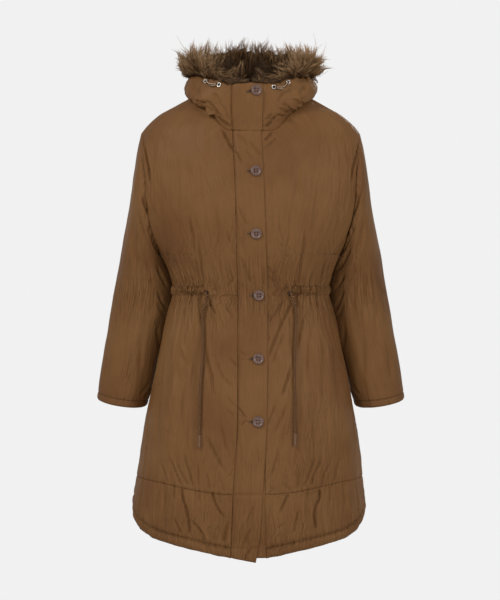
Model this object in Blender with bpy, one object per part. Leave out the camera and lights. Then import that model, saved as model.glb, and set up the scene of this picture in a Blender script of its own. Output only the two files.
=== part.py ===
"""A fur trimmed parka, filled out as if worn, with nobody in it.

The coat stands with +Z up and its front towards -Y. The wearer's right side is at -X.
The origin is the middle of the neck base, where the wearer's shoulders carry the coat.

Every cloth piece is a thin closed wall through a grid of points. Three forms give all of them:
  body_point(angle, height)    the trunk, as rings around the vertical axis
  hood_point(angle, share)     the pushed-back hood, from its neck seam (0) to its rim (1)
  sleeve_point(row, turn)       the +X sleeve, from its armhole down to its cuff
Angles run from 0 at the centre front over 90 at the +X side to 180 at the centre back.
"""

import math
from collections import namedtuple

import bmesh
import bpy
from mathutils import Matrix, Vector

MM = 0.001

# ---------------------------------------------------------------- driving dimensions (mm)
WALL = 2.4                    # shell cloth with its thin padding
SEAM_GAP = 0.3                # between pieces that are sewn together
OVERLAY_GAP = 0.8             # under a piece that lies on another
OVERLAY_WALL = 2.0            # placket
CASING_WALL = 1.2
FUR_LINING_WALL = 3.4
HOOD_SEAM_GAP = 1.2           # the hood's curved seam and the neck's are faceted apart
BUTTON_SHANK = 1.4
EYELET_LIFT = 0.9
SQUARENESS = 2.1              # 2 is an ellipse, more is boxier

WAIST_HEIGHT = -408.0
CASING_DEPTH = 19.0
BACK_NECK_HEIGHT = 28.0

BUTTON_DIAMETER = 23.0
BUTTON_THICKNESS = 3.4
EYELET_DIAMETER = 10.5
EYELET_HOLE = 5.2
CORD_DIAMETER = 6.4
CORD_TIP_LENGTH = 26.0
HOOD_CORD_DIAMETER = 4.0

# ---------------------------------------------------------------- tables (mm and degrees)
Ring = namedtuple("Ring", "height half_width front_depth back_depth centre_x")
BODY_RINGS = [
    Ring(40, 78, 52, 70, 0),
    Ring(24, 104, 62, 80, 0),
    Ring(10, 137, 71, 92, 0),
    Ring(-6, 166, 80, 102, 0),
    Ring(-24, 199, 89, 109, 0),
    Ring(-42, 221, 96, 115, 0),
    Ring(-60, 239, 102, 120, 0),
    Ring(-100, 252, 112, 127, 0),
    Ring(-150, 258, 121, 132, 0),
    Ring(-195, 256, 126, 133, 0),
    Ring(-245, 243, 128, 132, 0),
    Ring(-290, 221, 127, 128, 0),
    Ring(-330, 197, 124, 123, 0),
    Ring(-370, 181, 118, 116, 0),
    Ring(-408, 173, 114, 112, 0),
    Ring(-450, 182, 120, 119, 0),
    Ring(-524, 197, 131, 133, 0),
    Ring(-620, 216, 143, 147, 0),
    Ring(-700, 232, 151, 156, 0),
    Ring(-763, 242, 156, 161, -1),
    Ring(-832, 250, 160, 165, -3),
    Ring(-900, 257, 163, 168, -4),
    Ring(-990, 261, 166, 171, -4),
]

NeckPoint = namedtuple("NeckPoint", "angle height")
NECK_CURVE = [
    NeckPoint(0, -68),
    NeckPoint(10, -66),
    NeckPoint(22, -32),
    NeckPoint(45, 4),
    NeckPoint(70, 18),
    NeckPoint(90, 24),
    NeckPoint(135, 27),
    NeckPoint(180, BACK_NECK_HEIGHT),
]

SideSeam = namedtuple("SideSeam", "height angle")
SIDE_SEAM = [
    SideSeam(-330, 97),
    SideSeam(-408, 95),
    SideSeam(-560, 90),
    SideSeam(-650, 83),
    SideSeam(-720, 72),
    SideSeam(-820, 67),
    SideSeam(-990, 66),
]

# The placket's stitched edge (x_seam), its free edge (x_free) and the underlap's seam below it.
PlacketRow = namedtuple("PlacketRow", "height x_seam x_free x_underlap")
PLACKET = [
    PlacketRow(40, -41, 28, 20),
    PlacketRow(-68, -39, 23.5, 18),
    PlacketRow(-180, -34, 29, 23),
    PlacketRow(-327, -30, 33.5, 28),
    PlacketRow(-412, -28, 36.5, 31),
    PlacketRow(-665, -28, 35, 31),
    PlacketRow(-838, -37.5, 26, 30.5),
    PlacketRow(-923, -41, 20.5, 32.5),
    PlacketRow(-990, -43.5, 9, 34),
]

# The armhole: an upright loop on the side of the trunk.
ARMHOLE_TOP = -60.0
ARMHOLE_BOTTOM = -330.0
ARMHOLE_FRONT_SPREAD = 31.0   # degrees ahead of the side
ARMHOLE_BACK_SPREAD = 33.0    # degrees behind it
ARMHOLE_STEPS = 8             # rows between its top and its bottom

# Each sleeve row is a loop between an outer and an inner point, bowed outwards by bow.
SleeveRow = namedtuple("SleeveRow", "outer_x outer_z inner_x inner_z half_depth centre_y bow")
SLEEVE_ROWS = [
    SleeveRow(239, -60, 195, -330, 70, 10, 11),
    SleeveRow(247, -90, 196.5, -334, 72, 14, 16),
    SleeveRow(254, -130, 194.5, -340, 73, 19, 17),
    SleeveRow(262, -178, 191.5, -348, 73, 25, 15),
    SleeveRow(270, -228, 188, -358, 72, 31, 12),
    SleeveRow(279, -278, 184, -370, 70, 36, 9),
    SleeveRow(289, -328, 179, -386, 67, 40, 6),
    SleeveRow(298, -380, 175, -406, 63, 43, 3),
    SleeveRow(308, -436, 180, -446, 60, 44, 0),
    SleeveRow(319, -500, 193, -508, 57, 45, 0),
    SleeveRow(329, -556, 206, -568, 54.5, 46, 0),
    SleeveRow(337, -608, 218.5, -622, 52.5, 46, 0),
    SleeveRow(342, -647, 231, -664, 51, 46, 0),
]

# Hood profile at each angle: how far out and up each station is from the neck seam.
HoodProfile = namedtuple(
    "HoodProfile",
    "angle under_out under_up low_out low_up mid_out mid_up high_out high_up rim_out rim_up",
)
HOOD_PROFILES = [
    HoodProfile(0, 1, 16, 3, 36, 6, 60, 8, 82, 9, 102),
    HoodProfile(12, 3, 14, 7, 32, 9, 54, 9, 76, 8, 97),
    HoodProfile(24, 7, 3, 14, 10, 19, 30, 14, 52, 7, 74),
    HoodProfile(45, 13, -6, 22, -9, 29, 8, 20, 33, 6, 52),
    HoodProfile(70, 14, -3, 27, -5, 34, 9, 27, 28, 15, 45),
    HoodProfile(90, 16, -2, 31, -6, 40, 9, 36, 27, 25, 42),
    HoodProfile(120, 20, -4, 43, -15, 63, 2, 57, 31, 40, 50),
    HoodProfile(150, 30, -17, 61, -68, 92, -60, 90, 20, 50, 63),
    HoodProfile(165, 34, -24, 65, -93, 101, -87, 97, 16, 51, 70),
    HoodProfile(180, 37, -28, 66, -104, 104, -99, 100, 14, 52, 76),
]

# The rim's fur, measured from the rim: how far it reaches out, up, in and down.
FurRow = namedtuple("FurRow", "angle out outside_drop rise inside inside_drop")
FUR_ROWS = [
    FurRow(0, 3, 0.5, 20, 34, 26),
    FurRow(20, 4, 0.5, 26, 36, 28),
    FurRow(45, 10, 1, 42, 42, 30),
    FurRow(70, 28, 9, 57, 46, 30),
    FurRow(90, 37, 13, 64, 46, 30),
    FurRow(135, 34, 14, 70, 46, 34),
    FurRow(180, 32, 14, 56, 46, 38),
]

ButtonPlace = namedtuple("ButtonPlace", "x height")
BUTTONS = [
    ButtonPlace(11.6, 18),
    ButtonPlace(11.0, -155),
    ButtonPlace(11.6, -288),
    ButtonPlace(17.2, -420),
    ButtonPlace(16.0, -554),
    ButtonPlace(15.3, -686),
]

# Largest folds: a soft trough (negative) or ridge along a line from one point to another.
Fold = namedtuple("Fold", "x_start z_start x_end z_end half_width rise front")
FOLDS = [
    Fold(-60, -430, -160, -640, 22, -5.0, True),
    Fold(70, -440, 150, -640, 22, -5.0, True),
    Fold(-150, -450, -185, -780, 24, 5.0, True),
    Fold(140, -450, 190, -760, 24, 5.0, True),
    Fold(-85, -560, -120, -800, 26, 4.5, True),
    Fold(95, -600, 105, -815, 26, 4.5, True),
    Fold(-150, -120, -90, -330, 34, -4.0, True),
    Fold(150, -120, 95, -320, 34, -4.0, True),
    Fold(-120, -430, -150, -780, 26, 6.0, False),
    Fold(-20, -440, -30, -800, 28, -6.0, False),
    Fold(90, -430, 130, -790, 26, 6.0, False),
    Fold(-140, -140, -60, -350, 36, -5.0, False),
    Fold(140, -130, 70, -350, 36, -5.0, False),
]

# Drawcord routes: x and height, top to bottom; each hangs on the front of the skirt.
CordPoint = namedtuple("CordPoint", "x height lift")
RIGHT_CORD = [
    CordPoint(-95.0, -412.5, 5.4),
    CordPoint(-92.2, -417.5, 9.8),
    CordPoint(-90.4, -424.5, 11.4),
    CordPoint(-91.8, -433.5, 10.0),
    CordPoint(-96.0, -443.5, 7.4),
    CordPoint(-99.8, -455.0, 5.8),
    CordPoint(-101.6, -471.0, 5.4),
    CordPoint(-101.0, -492.0, 5.4),
    CordPoint(-101.0, -520.0, 5.4),
    CordPoint(-101.8, -560.0, 5.4),
    CordPoint(-103.0, -605.0, 5.4),
    CordPoint(-104.6, -650.0, 5.4),
    CordPoint(-105.4, -690.0, 5.4),
    CordPoint(-105.8, -716.0, 5.4),
]
LEFT_CORD = [
    CordPoint(83.5, -415.0, 5.4),
    CordPoint(84.6, -421.0, 9.6),
    CordPoint(87.2, -430.0, 10.8),
    CordPoint(91.2, -441.5, 8.6),
    CordPoint(94.6, -456.0, 6.0),
    CordPoint(95.9, -474.0, 5.4),
    CordPoint(95.0, -500.0, 5.4),
    CordPoint(93.0, -540.0, 5.4),
    CordPoint(91.6, -590.0, 5.4),
    CordPoint(91.0, -640.0, 5.4),
    CordPoint(90.8, -680.0, 5.4),
    CordPoint(91.4, -712.0, 5.4),
]

# ---------------------------------------------------------------- grid sizes
FRONT_COLUMNS = 16
BACK_COLUMNS = 36
HOOD_STEP = 7.5               # degrees between the hood's columns, and the fur's
HOOD_ROWS = 10

# ---------------------------------------------------------------- gathers at the waist cord
GATHERS_AROUND = 24
GATHER_RISE = 2.2
GATHER_START = 34.0           # degrees from the centre front: the eyelets stand about here
GATHER_FULL = 48.0
GATHER_REACH_ABOVE = 34.0
GATHER_REACH_BELOW = 46.0


# ---------------------------------------------------------------- small mathematics
def slopes(xs, ys):
    """Finite-difference slope at each table row, flat at a turning point."""
    steps = [(ys[i + 1] - ys[i]) / (xs[i + 1] - xs[i]) for i in range(len(xs) - 1)]
    result = [steps[0]]
    for before, after in zip(steps, steps[1:]):
        turning = before * after <= 0
        result.append(0.0 if turning else 2 * before * after / (before + after))
    result.append(steps[-1])
    return result


def read_table(rows, key, column, at):
    """Smoothly read one named column of a table at a value of its key column."""
    ordered = sorted(rows, key=lambda row: getattr(row, key))
    xs = [getattr(row, key) for row in ordered]
    ys = [getattr(row, column) for row in ordered]
    at = min(max(at, xs[0]), xs[-1])
    tangents = slopes(xs, ys)
    last = len(xs) - 2
    index = next((i for i in range(last) if at <= xs[i + 1]), last)
    span = xs[index + 1] - xs[index]
    t = (at - xs[index]) / span
    low, high = ys[index], ys[index + 1]
    return (
        (2 * t**3 - 3 * t**2 + 1) * low
        + (t**3 - 2 * t**2 + t) * span * tangents[index]
        + (3 * t**2 - 2 * t**3) * high
        + (t**3 - t**2) * span * tangents[index + 1]
    )


def signed_power(value, exponent):
    return math.copysign(abs(value) ** exponent, value)


def blend(low, high, share):
    return low + (high - low) * share


def smooth_step(share):
    share = min(max(share, 0.0), 1.0)
    return share * share * (3 - 2 * share)


def ease_out(share):
    """Steep at first and level at the end."""
    return 1.0 - (1.0 - share) ** 2


def tidy_angle(angle):
    """The same angle between -180 and 180."""
    return (angle + 180.0) % 360.0 - 180.0


# ---------------------------------------------------------------- the trunk
def ring_size(height):
    return (
        read_table(BODY_RINGS, "height", "half_width", height),
        read_table(BODY_RINGS, "height", "front_depth", height),
        read_table(BODY_RINGS, "height", "back_depth", height),
    )


def ring_centre(height):
    return read_table(BODY_RINGS, "height", "centre_x", height)


def gather_rise(angle, height):
    """Small upright puckers either side of the waist cord, none between the two eyelets."""
    away = abs(tidy_angle(angle))
    uneven = 0.6 * math.sin(math.radians(3 * angle))
    wave = math.cos(math.radians(angle * GATHERS_AROUND) + uneven)
    share = smooth_step((away - GATHER_START) / (GATHER_FULL - GATHER_START))
    reach = GATHER_REACH_ABOVE if height > WAIST_HEIGHT else GATHER_REACH_BELOW
    fade = math.exp(-((abs(height - WAIST_HEIGHT) / reach) ** 1.5))
    return GATHER_RISE * wave * share * fade


def fold_rise(x, z, front):
    """Sum of the soft folds at a place on the front or the back."""
    total = 0.0
    for fold in FOLDS:
        if fold.front != front:
            continue
        along_x = fold.x_end - fold.x_start
        along_z = fold.z_end - fold.z_start
        length = math.hypot(along_x, along_z)
        share = ((x - fold.x_start) * along_x + (z - fold.z_start) * along_z) / length**2
        across = ((x - fold.x_start) * along_z - (z - fold.z_start) * along_x) / length
        fade_ends = smooth_step(share / 0.25) * smooth_step((1 - share) / 0.25)
        total += fold.rise * fade_ends * math.exp(-((across / fold.half_width) ** 2))
    return total


def plain_body(angle, height):
    """A place on the trunk without gathers and folds, in millimetres."""
    half_width, front_depth, back_depth = ring_size(height)
    radians = math.radians(angle)
    power = 2.0 / SQUARENESS
    x = ring_centre(height) + half_width * signed_power(math.sin(radians), power)
    forward = signed_power(math.cos(radians), power)
    depth = front_depth if forward > 0 else back_depth
    return Vector((x, -depth * forward, height))


def surface_normal(surface, u, v, step_u, step_v):
    across = surface(u + step_u, v) - surface(u - step_u, v)
    along = surface(u, v + step_v) - surface(u, v - step_v)
    return across.cross(along).normalized()


def body_normal(angle, height):
    return surface_normal(plain_body, angle, height, 0.5, 1.0)


def body_point(angle, height):
    """A place on the trunk's outer surface, in millimetres."""
    place = plain_body(angle, height)
    front = abs(tidy_angle(angle)) < 90.0
    edge_fade = min(1.0, abs(math.cos(math.radians(angle))) * 2.5)
    rise = gather_rise(angle, height) + edge_fade * fold_rise(place.x, height, front)
    return place + body_normal(angle, height) * rise


def angle_at_x(x, height):
    """The angle on the front where the trunk's ring has this x."""
    share = (x - ring_centre(height)) / ring_size(height)[0]
    return math.degrees(math.asin(signed_power(share, SQUARENESS / 2.0)))


def front_point_at(x, height):
    angle = angle_at_x(x, height)
    return body_point(angle, height), body_normal(angle, height)


def placket_x(column, height):
    return read_table(PLACKET, "height", column, height)


# ---------------------------------------------------------------- seams and hems of the trunk
def neck_height(angle):
    return read_table(NECK_CURVE, "angle", "height", abs(tidy_angle(angle)))


BAND_SEAM_CENTRE = -839.0
BAND_SEAM_SIDE_RISE = 24.0
BAND_SEAM_SIDE = BAND_SEAM_CENTRE + BAND_SEAM_SIDE_RISE
HEM_CENTRE = -977.5
HEM_SLOPE = 51.0
HEM_ROUNDING = 0.03
HEM_CORNER_START = 46.0       # degrees from the centre where the round corner begins
HEM_CORNER_RISE = 55.0


def band_seam_height(angle):
    sideways = abs(math.sin(math.radians(angle)))
    return BAND_SEAM_CENTRE + BAND_SEAM_SIDE_RISE * smooth_step((sideways - 0.16) / 0.84)


def hem_height(angle):
    """A shirt-tail hem: low in the middle, round corners, high at the sides."""
    off_centre = abs(tidy_angle(angle))
    off_centre = min(off_centre, 180.0 - off_centre)
    sideways = math.sin(math.radians(off_centre))
    slope = math.hypot(sideways, HEM_ROUNDING) - HEM_ROUNDING
    corner = max(0.0, (off_centre - HEM_CORNER_START) / (90.0 - HEM_CORNER_START))
    return HEM_CENTRE + HEM_SLOPE * slope + HEM_CORNER_RISE * corner**2


def side_seam_angle(height):
    return read_table(SIDE_SEAM, "height", "angle", height)


def armhole_turn(step):
    return math.pi * step / ARMHOLE_STEPS


def armhole_place(step, spread):
    """Angle and height of the armhole's edge; spread is negative ahead of the side."""
    turn = armhole_turn(step)
    middle = (ARMHOLE_TOP + ARMHOLE_BOTTOM) / 2
    height = middle + (ARMHOLE_TOP - ARMHOLE_BOTTOM) / 2 * math.cos(turn)
    side = blend(90.0, side_seam_angle(ARMHOLE_BOTTOM), (1 - math.cos(turn)) / 2)
    return side + spread * math.sin(turn) ** 0.85, height


# Upper rows of the trunk's pieces: heights at the middle of the piece and at its side edge.
SHOULDER_SHARES = (0.0, 0.34, 0.67)
NECK_FRONT_HEIGHT = -66.5
MIDDLE_AT_SHOULDER = -124.0
MIDDLE_AT_UNDERARM = -338.0
LOWER_HEIGHTS = (-368.0, -398.5, -408.0, -417.5, -442.0, -485.0, -560.0, -660.0, -755.0)
CASING_TOP = WAIST_HEIGHT + CASING_DEPTH / 2
CASING_BOTTOM = WAIST_HEIGHT - CASING_DEPTH / 2


def row_kinds():
    """The rows of an upper panel, top to bottom, each with how far it has come."""
    rows = [("shoulder", share) for share in SHOULDER_SHARES]
    rows += [("armhole", step) for step in range(ARMHOLE_STEPS + 1)]
    rows += [("lower", height) for height in LOWER_HEIGHTS]
    rows.append(("band_seam", 0))
    return rows


def side_edge(kind, value, spread):
    """Angle and height of a panel's side edge on one row."""
    if kind == "shoulder":
        return 90.0, blend(neck_height(90.0), ARMHOLE_TOP, value)
    if kind == "armhole":
        return armhole_place(value, spread)
    if kind == "lower":
        return side_seam_angle(value), value
    angle = side_seam_angle(BAND_SEAM_SIDE)
    return angle, band_seam_height(angle)


def middle_height(kind, value, edge_height):
    if kind == "shoulder":
        return None
    if kind == "armhole":
        return blend(MIDDLE_AT_SHOULDER, MIDDLE_AT_UNDERARM, value / ARMHOLE_STEPS)
    return edge_height


def front_row(kind, value, inner_column, side):
    """Angles and heights across one row of a front, from its centre edge to its side."""
    edge_angle, edge_height = side_edge(kind, value, -ARMHOLE_FRONT_SPREAD)
    middle = middle_height(kind, value, edge_height)
    if kind == "shoulder":
        middle = blend(NECK_FRONT_HEIGHT, MIDDLE_AT_SHOULDER, value)
    if kind == "band_seam":
        middle = BAND_SEAM_CENTRE
    start_angle = side * angle_at_x(placket_x(inner_column, middle) + side * SEAM_GAP / 2, middle)
    row = []
    for column in range(FRONT_COLUMNS + 1):
        share = column / FRONT_COLUMNS
        angle = blend(start_angle, edge_angle, share)
        if kind == "shoulder":
            flat = blend(MIDDLE_AT_SHOULDER, ARMHOLE_TOP, ease_out(share))
            height = blend(neck_height(angle), flat, value)
        elif kind == "armhole":
            height = blend(middle, edge_height, ease_out(share))
        elif kind == "band_seam":
            height = band_seam_height(angle)
        else:
            height = edge_height
        row.append((side * angle, height))
    return row


def back_row(kind, value):
    """Angles and heights across one row of the back, from the +X side to the -X side."""
    edge_angle, edge_height = side_edge(kind, value, ARMHOLE_BACK_SPREAD)
    middle = middle_height(kind, value, edge_height)
    row = []
    for column in range(BACK_COLUMNS + 1):
        share = column / BACK_COLUMNS
        angle = blend(edge_angle, 360.0 - edge_angle, share)
        out = abs(2 * share - 1)
        if kind == "shoulder":
            flat = blend(MIDDLE_AT_SHOULDER, ARMHOLE_TOP, ease_out(out))
            height = blend(neck_height(angle), flat, value)
        elif kind == "armhole":
            height = blend(middle, edge_height, ease_out(out))
        elif kind == "band_seam":
            height = band_seam_height(angle)
        else:
            height = edge_height
        row.append((angle, height))
    return row


# ---------------------------------------------------------------- walls from grids
def grid_points(rows, surface, normal, lift=0.0):
    return [[surface(u, v) + normal(u, v) * lift for u, v in row] for row in rows]


def pull_back(outer, inner, edges, gap):
    """Move the border points of a wall inwards along the wall by the seam gap."""
    last_row = len(outer) - 1
    last_column = len(outer[0]) - 1
    for grid in (outer, inner):
        source = [[point.copy() for point in row] for row in grid]
        for r in range(last_row + 1):
            for c in range(last_column + 1):
                shift = Vector((0, 0, 0))
                if "top" in edges and r == 0:
                    shift += (source[1][c] - source[0][c]).normalized()
                if "bottom" in edges and r == last_row:
                    shift += (source[last_row - 1][c] - source[last_row][c]).normalized()
                if "start" in edges and c == 0:
                    shift += (source[r][1] - source[r][0]).normalized()
                if "end" in edges and c == last_column:
                    shift += (source[r][last_column - 1] - source[r][last_column]).normalized()
                grid[r][c] = source[r][c] + shift * gap


def wall_mesh(outer, inner, closed=False):
    """Vertices (metres) and faces of the closed wall between two grids of points."""
    rows = len(outer)
    columns = len(outer[0])
    points = [point * MM for grid in (outer, inner) for row in grid for point in row]
    layer = rows * columns

    def at(side, r, c):
        return side * layer + r * columns + c % columns

    faces = []
    spans = columns if closed else columns - 1
    for r in range(rows - 1):
        for c in range(spans):
            faces.append((at(0, r, c), at(0, r + 1, c), at(0, r + 1, c + 1), at(0, r, c + 1)))
            faces.append((at(1, r, c), at(1, r, c + 1), at(1, r + 1, c + 1), at(1, r + 1, c)))
    for c in range(spans):
        faces.append((at(0, 0, c), at(0, 0, c + 1), at(1, 0, c + 1), at(1, 0, c)))
        low = rows - 1
        faces.append((at(0, low, c + 1), at(0, low, c), at(1, low, c), at(1, low, c + 1)))
    if not closed:
        for r in range(rows - 1):
            end = columns - 1
            faces.append((at(0, r + 1, 0), at(0, r, 0), at(1, r, 0), at(1, r + 1, 0)))
            faces.append((at(0, r, end), at(0, r + 1, end), at(1, r + 1, end), at(1, r, end)))
    return points, faces


def add_object(name, points, faces, material):
    mesh = bpy.data.meshes.new(name)
    mesh.from_pydata(points, [], faces)
    shape = bmesh.new()
    shape.from_mesh(mesh)
    bmesh.ops.recalc_face_normals(shape, faces=shape.faces)
    bmesh.ops.triangulate(shape, faces=shape.faces)
    shape.to_mesh(mesh)
    shape.free()
    mesh.shade_smooth()
    mesh.set_sharp_from_angle(angle=math.radians(50))
    piece = bpy.data.objects.new(name, mesh)
    piece.data.materials.append(material)
    bpy.context.scene.collection.objects.link(piece)
    return piece


def cloth_wall(name, rows, surface, normal, material, edges, lift=0.0, wall=WALL, inside=None):
    """A closed wall whose outer face is the surface moved out by lift."""
    outer = grid_points(rows, surface, normal, lift)
    inner = grid_points(rows, inside or surface, normal, lift - wall)
    pull_back(outer, inner, edges, SEAM_GAP / 2)
    points, faces = wall_mesh(outer, inner)
    return add_object(name, points, faces, material)


# ---------------------------------------------------------------- trunk pieces
def make_fronts(shell):
    seams = ("top", "bottom", "start", "end")
    for name, column, side in (("front_right", "x_seam", -1), ("front_left", "x_underlap", 1)):
        rows = [front_row(kind, value, column, side) for kind, value in row_kinds()]
        cloth_wall(name, rows, body_point, body_normal, shell, seams)


def make_back(shell):
    rows = [back_row(kind, value) for kind, value in row_kinds()]
    cloth_wall("back", rows, body_point, body_normal, shell, ("top", "bottom", "start", "end"))


BAND_SHARES = (0.0, 0.5, 1.0)
BAND_CENTRE_ANGLE = 9.0


def band_centre_height(share):
    """Height of a band row at the front edge, where the placket begins."""
    return blend(BAND_SEAM_CENTRE, hem_height(BAND_CENTRE_ANGLE), share)


def band_place(angle, share):
    return angle, blend(band_seam_height(angle), hem_height(angle), share)


def make_bands(shell):
    for name, column, side in (
        ("hem_band_right", "x_seam", -1),
        ("hem_band_left", "x_underlap", 1),
    ):
        rows = []
        for share in BAND_SHARES:
            middle = band_centre_height(share)
            start = side * angle_at_x(placket_x(column, middle) + side * SEAM_GAP / 2, middle)
            end = side_seam_angle(BAND_SEAM_SIDE)
            angles = [
                blend(start, end, column_index / FRONT_COLUMNS)
                for column_index in range(FRONT_COLUMNS + 1)
            ]
            rows.append([band_place(side * angle, share) for angle in angles])
        cloth_wall(name, rows, body_point, body_normal, shell, ("top", "start", "end"))
    seam = back_row("band_seam", 0)
    rows = [[band_place(angle, share) for angle, _ in seam] for share in BAND_SHARES]
    cloth_wall("hem_band_back", rows, body_point, body_normal, shell, ("top", "start", "end"))


EYELET_X_RIGHT = -95.0
EYELET_X_LEFT = 83.5


def make_casings(shell):
    """Cord channels stitched on the waist, from beside each eyelet round the back."""
    heights = (CASING_TOP, WAIST_HEIGHT, CASING_BOTTOM)
    for name, column, side, eyelet_x in (
        ("waist_casing_right", "x_seam", -1, EYELET_X_RIGHT),
        ("waist_casing_left", "x_underlap", 1, EYELET_X_LEFT),
    ):
        base = front_row("lower", WAIST_HEIGHT, column, side)
        clear = abs(angle_at_x(eyelet_x, WAIST_HEIGHT)) + 4.0
        first = next(i for i, (angle, _) in enumerate(base) if abs(angle) > clear)
        rows = [front_row("lower", height, column, side)[first:] for height in heights]
        cloth_wall(
            name, rows, body_point, body_normal, shell, ("start", "end"),
            lift=OVERLAY_GAP + CASING_WALL, wall=CASING_WALL,
        )
    rows = [back_row("lower", height) for height in heights]
    cloth_wall(
        "waist_casing_back", rows, body_point, body_normal, shell, ("start", "end"),
        lift=OVERLAY_GAP + CASING_WALL, wall=CASING_WALL,
    )


# ---------------------------------------------------------------- placket and underlap
def centre_heights():
    """Heights of the fronts' rows at their centre edge, then of the hem band's."""
    heights = []
    for kind, value in row_kinds():
        if kind == "shoulder":
            heights.append(blend(NECK_FRONT_HEIGHT, MIDDLE_AT_SHOULDER, value))
        elif kind == "band_seam":
            heights.append(BAND_SEAM_CENTRE)
        else:
            heights.append(middle_height(kind, value, value))
    for share in BAND_SHARES[1:]:
        heights.append(band_centre_height(share))
    return heights


def placket_lift(share):
    """Flush at the stitched edge, then over the left front."""
    return blend(0.0, OVERLAY_GAP + OVERLAY_WALL, smooth_step(share / 0.16))


PLACKET_SHARES = (0.0, 0.08, 0.16, 0.45, 0.72, 1.0)


def placket_surface(share, height):
    """A place on the placket: share 0 is the stitched edge and 1 the free edge."""
    x = blend(placket_x("x_seam", height), placket_x("x_free", height), share)
    angle = angle_at_x(x, height)
    place = plain_body(angle, height) + body_normal(angle, height) * fold_rise(x, height, True)
    return place + body_normal(angle, height) * placket_lift(share)


def placket_normal(share, height):
    return surface_normal(placket_surface, share, height, 0.01, 1.0)


PLACKET_FOOT_DROP = 10.0      # its lower free corner hangs below its stitched one


def make_placket(shell):
    rows = [[(share, height) for share in PLACKET_SHARES] for height in centre_heights()]
    rows[-1] = [(share, height - PLACKET_FOOT_DROP * share) for share, height in rows[-1]]
    cloth_wall(
        "placket", rows, placket_surface, placket_normal, shell, ("top", "start"),
        wall=OVERLAY_WALL,
    )


def make_underlap(shell):
    """The strip of the left front that the placket covers."""
    hidden = 14.0
    rows = []
    for height in centre_heights():
        start = angle_at_x(placket_x("x_seam", height) + hidden, height)
        end = angle_at_x(placket_x("x_underlap", height) - SEAM_GAP / 2, height)
        rows.append([(blend(start, end, i / 3), height) for i in range(4)])
    cloth_wall("underlap", rows, body_point, body_normal, shell, ("top", "end"))


# ---------------------------------------------------------------- sleeves
CUFF_TILT = 8.0               # how much lower the cuff's front edge is than its middle
CUFF_TILT_START = 8.0         # sleeve row
CUFF_TILT_ROWS = 4.0


def sleeve_base(row, turn):
    """A place on a plain sleeve loop on the +X side; turn 0 is outside and 180 inside."""
    sizes = [
        read_sleeve(column, row)
        for column in SleeveRow._fields
    ]
    outer_x, outer_z, inner_x, inner_z, half_depth, centre_y, bow = sizes
    outer = Vector((outer_x, 0, outer_z))
    inner = Vector((inner_x, 0, inner_z))
    radians = math.radians(turn)
    place = (outer + inner) / 2 + (outer - inner) / 2 * math.cos(radians)
    place.x += bow * math.sin(radians) ** 2
    place.z += CUFF_TILT * smooth_step((row - CUFF_TILT_START) / CUFF_TILT_ROWS) * math.sin(radians)
    place.y = centre_y + half_depth * math.sin(radians)
    return place


def read_sleeve(column, row):
    low = min(int(row), len(SLEEVE_ROWS) - 2)
    return blend(getattr(SLEEVE_ROWS[low], column), getattr(SLEEVE_ROWS[low + 1], column), row - low)


def armhole_edge(turn):
    """The trunk's armhole edge on the +X side at one turn of the sleeve."""
    step = (turn if turn <= 180 else 360 - turn) / 180 * ARMHOLE_STEPS
    spread = ARMHOLE_BACK_SPREAD if turn <= 180 else -ARMHOLE_FRONT_SPREAD
    angle, height = armhole_place(step, spread)
    return body_point(angle, height), body_normal(angle, height)


def sleeve_point(row, turn):
    """A place on the +X sleeve's outer surface, flowing out of the armhole's edge."""
    edge, _ = armhole_edge(turn % 360.0)
    follow = math.exp(-((row / 1.6) ** 1.3))
    return sleeve_base(row, turn) + (edge - sleeve_base(0, turn)) * follow


def sleeve_normal(row, turn):
    step = 0.05 if row > 0.05 else 0.025
    low = max(row - step, 0.0)
    high = min(row + step, len(SLEEVE_ROWS) - 1.0)
    along = sleeve_point(high, turn) - sleeve_point(low, turn)
    around = sleeve_point(row, turn + 1.0) - sleeve_point(row, turn - 1.0)
    return around.cross(along).normalized() * -1.0


UNDER_ARM_START = 0.3         # cosine past which a sleeve's top edge turns down into the sleeve
UNDER_ARM_SPAN = 0.5
UNDER_ARM_TUCK = 0.3


def sleeve_top_normal(turn):
    """Across the wall at the armhole: the trunk's at the shoulder, the sleeve's under the arm."""
    below = smooth_step((-math.cos(math.radians(turn)) - UNDER_ARM_START) / UNDER_ARM_SPAN)
    normal = armhole_edge(turn)[1].lerp(sleeve_normal(0.3, turn), below)
    return (normal - Vector((0, 0, below * UNDER_ARM_TUCK))).normalized()


def make_sleeves(shell):
    turns = [360.0 * i / (2 * ARMHOLE_STEPS) for i in range(2 * ARMHOLE_STEPS)]
    outer = []
    inner = []
    for row in range(len(SLEEVE_ROWS)):
        outer.append([])
        inner.append([])
        for turn in turns:
            place = sleeve_point(row, turn)
            normal = sleeve_normal(row, turn)
            if row == 0:
                onward = (sleeve_point(1, turn) - place).normalized()
                place = armhole_edge(turn)[0] + onward * SEAM_GAP
                normal = sleeve_top_normal(turn)
            outer[-1].append(place)
            inner[-1].append(place - normal * WALL)
    for name, side in (("sleeve_left", 1), ("sleeve_right", -1)):
        mirror = Matrix.Diagonal((side, 1, 1, 1)).to_3x3()
        points, faces = wall_mesh(
            [[mirror @ point for point in row] for row in outer],
            [[mirror @ point for point in row] for row in inner],
            closed=True,
        )
        add_object(name, points, faces, shell)


# ---------------------------------------------------------------- hood
HOOD_STATIONS = ("under", "low", "mid", "high", "rim")


def hood_seam(angle):
    return plain_body(angle, neck_height(angle)) + Vector((0, 0, HOOD_SEAM_GAP))


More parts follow.
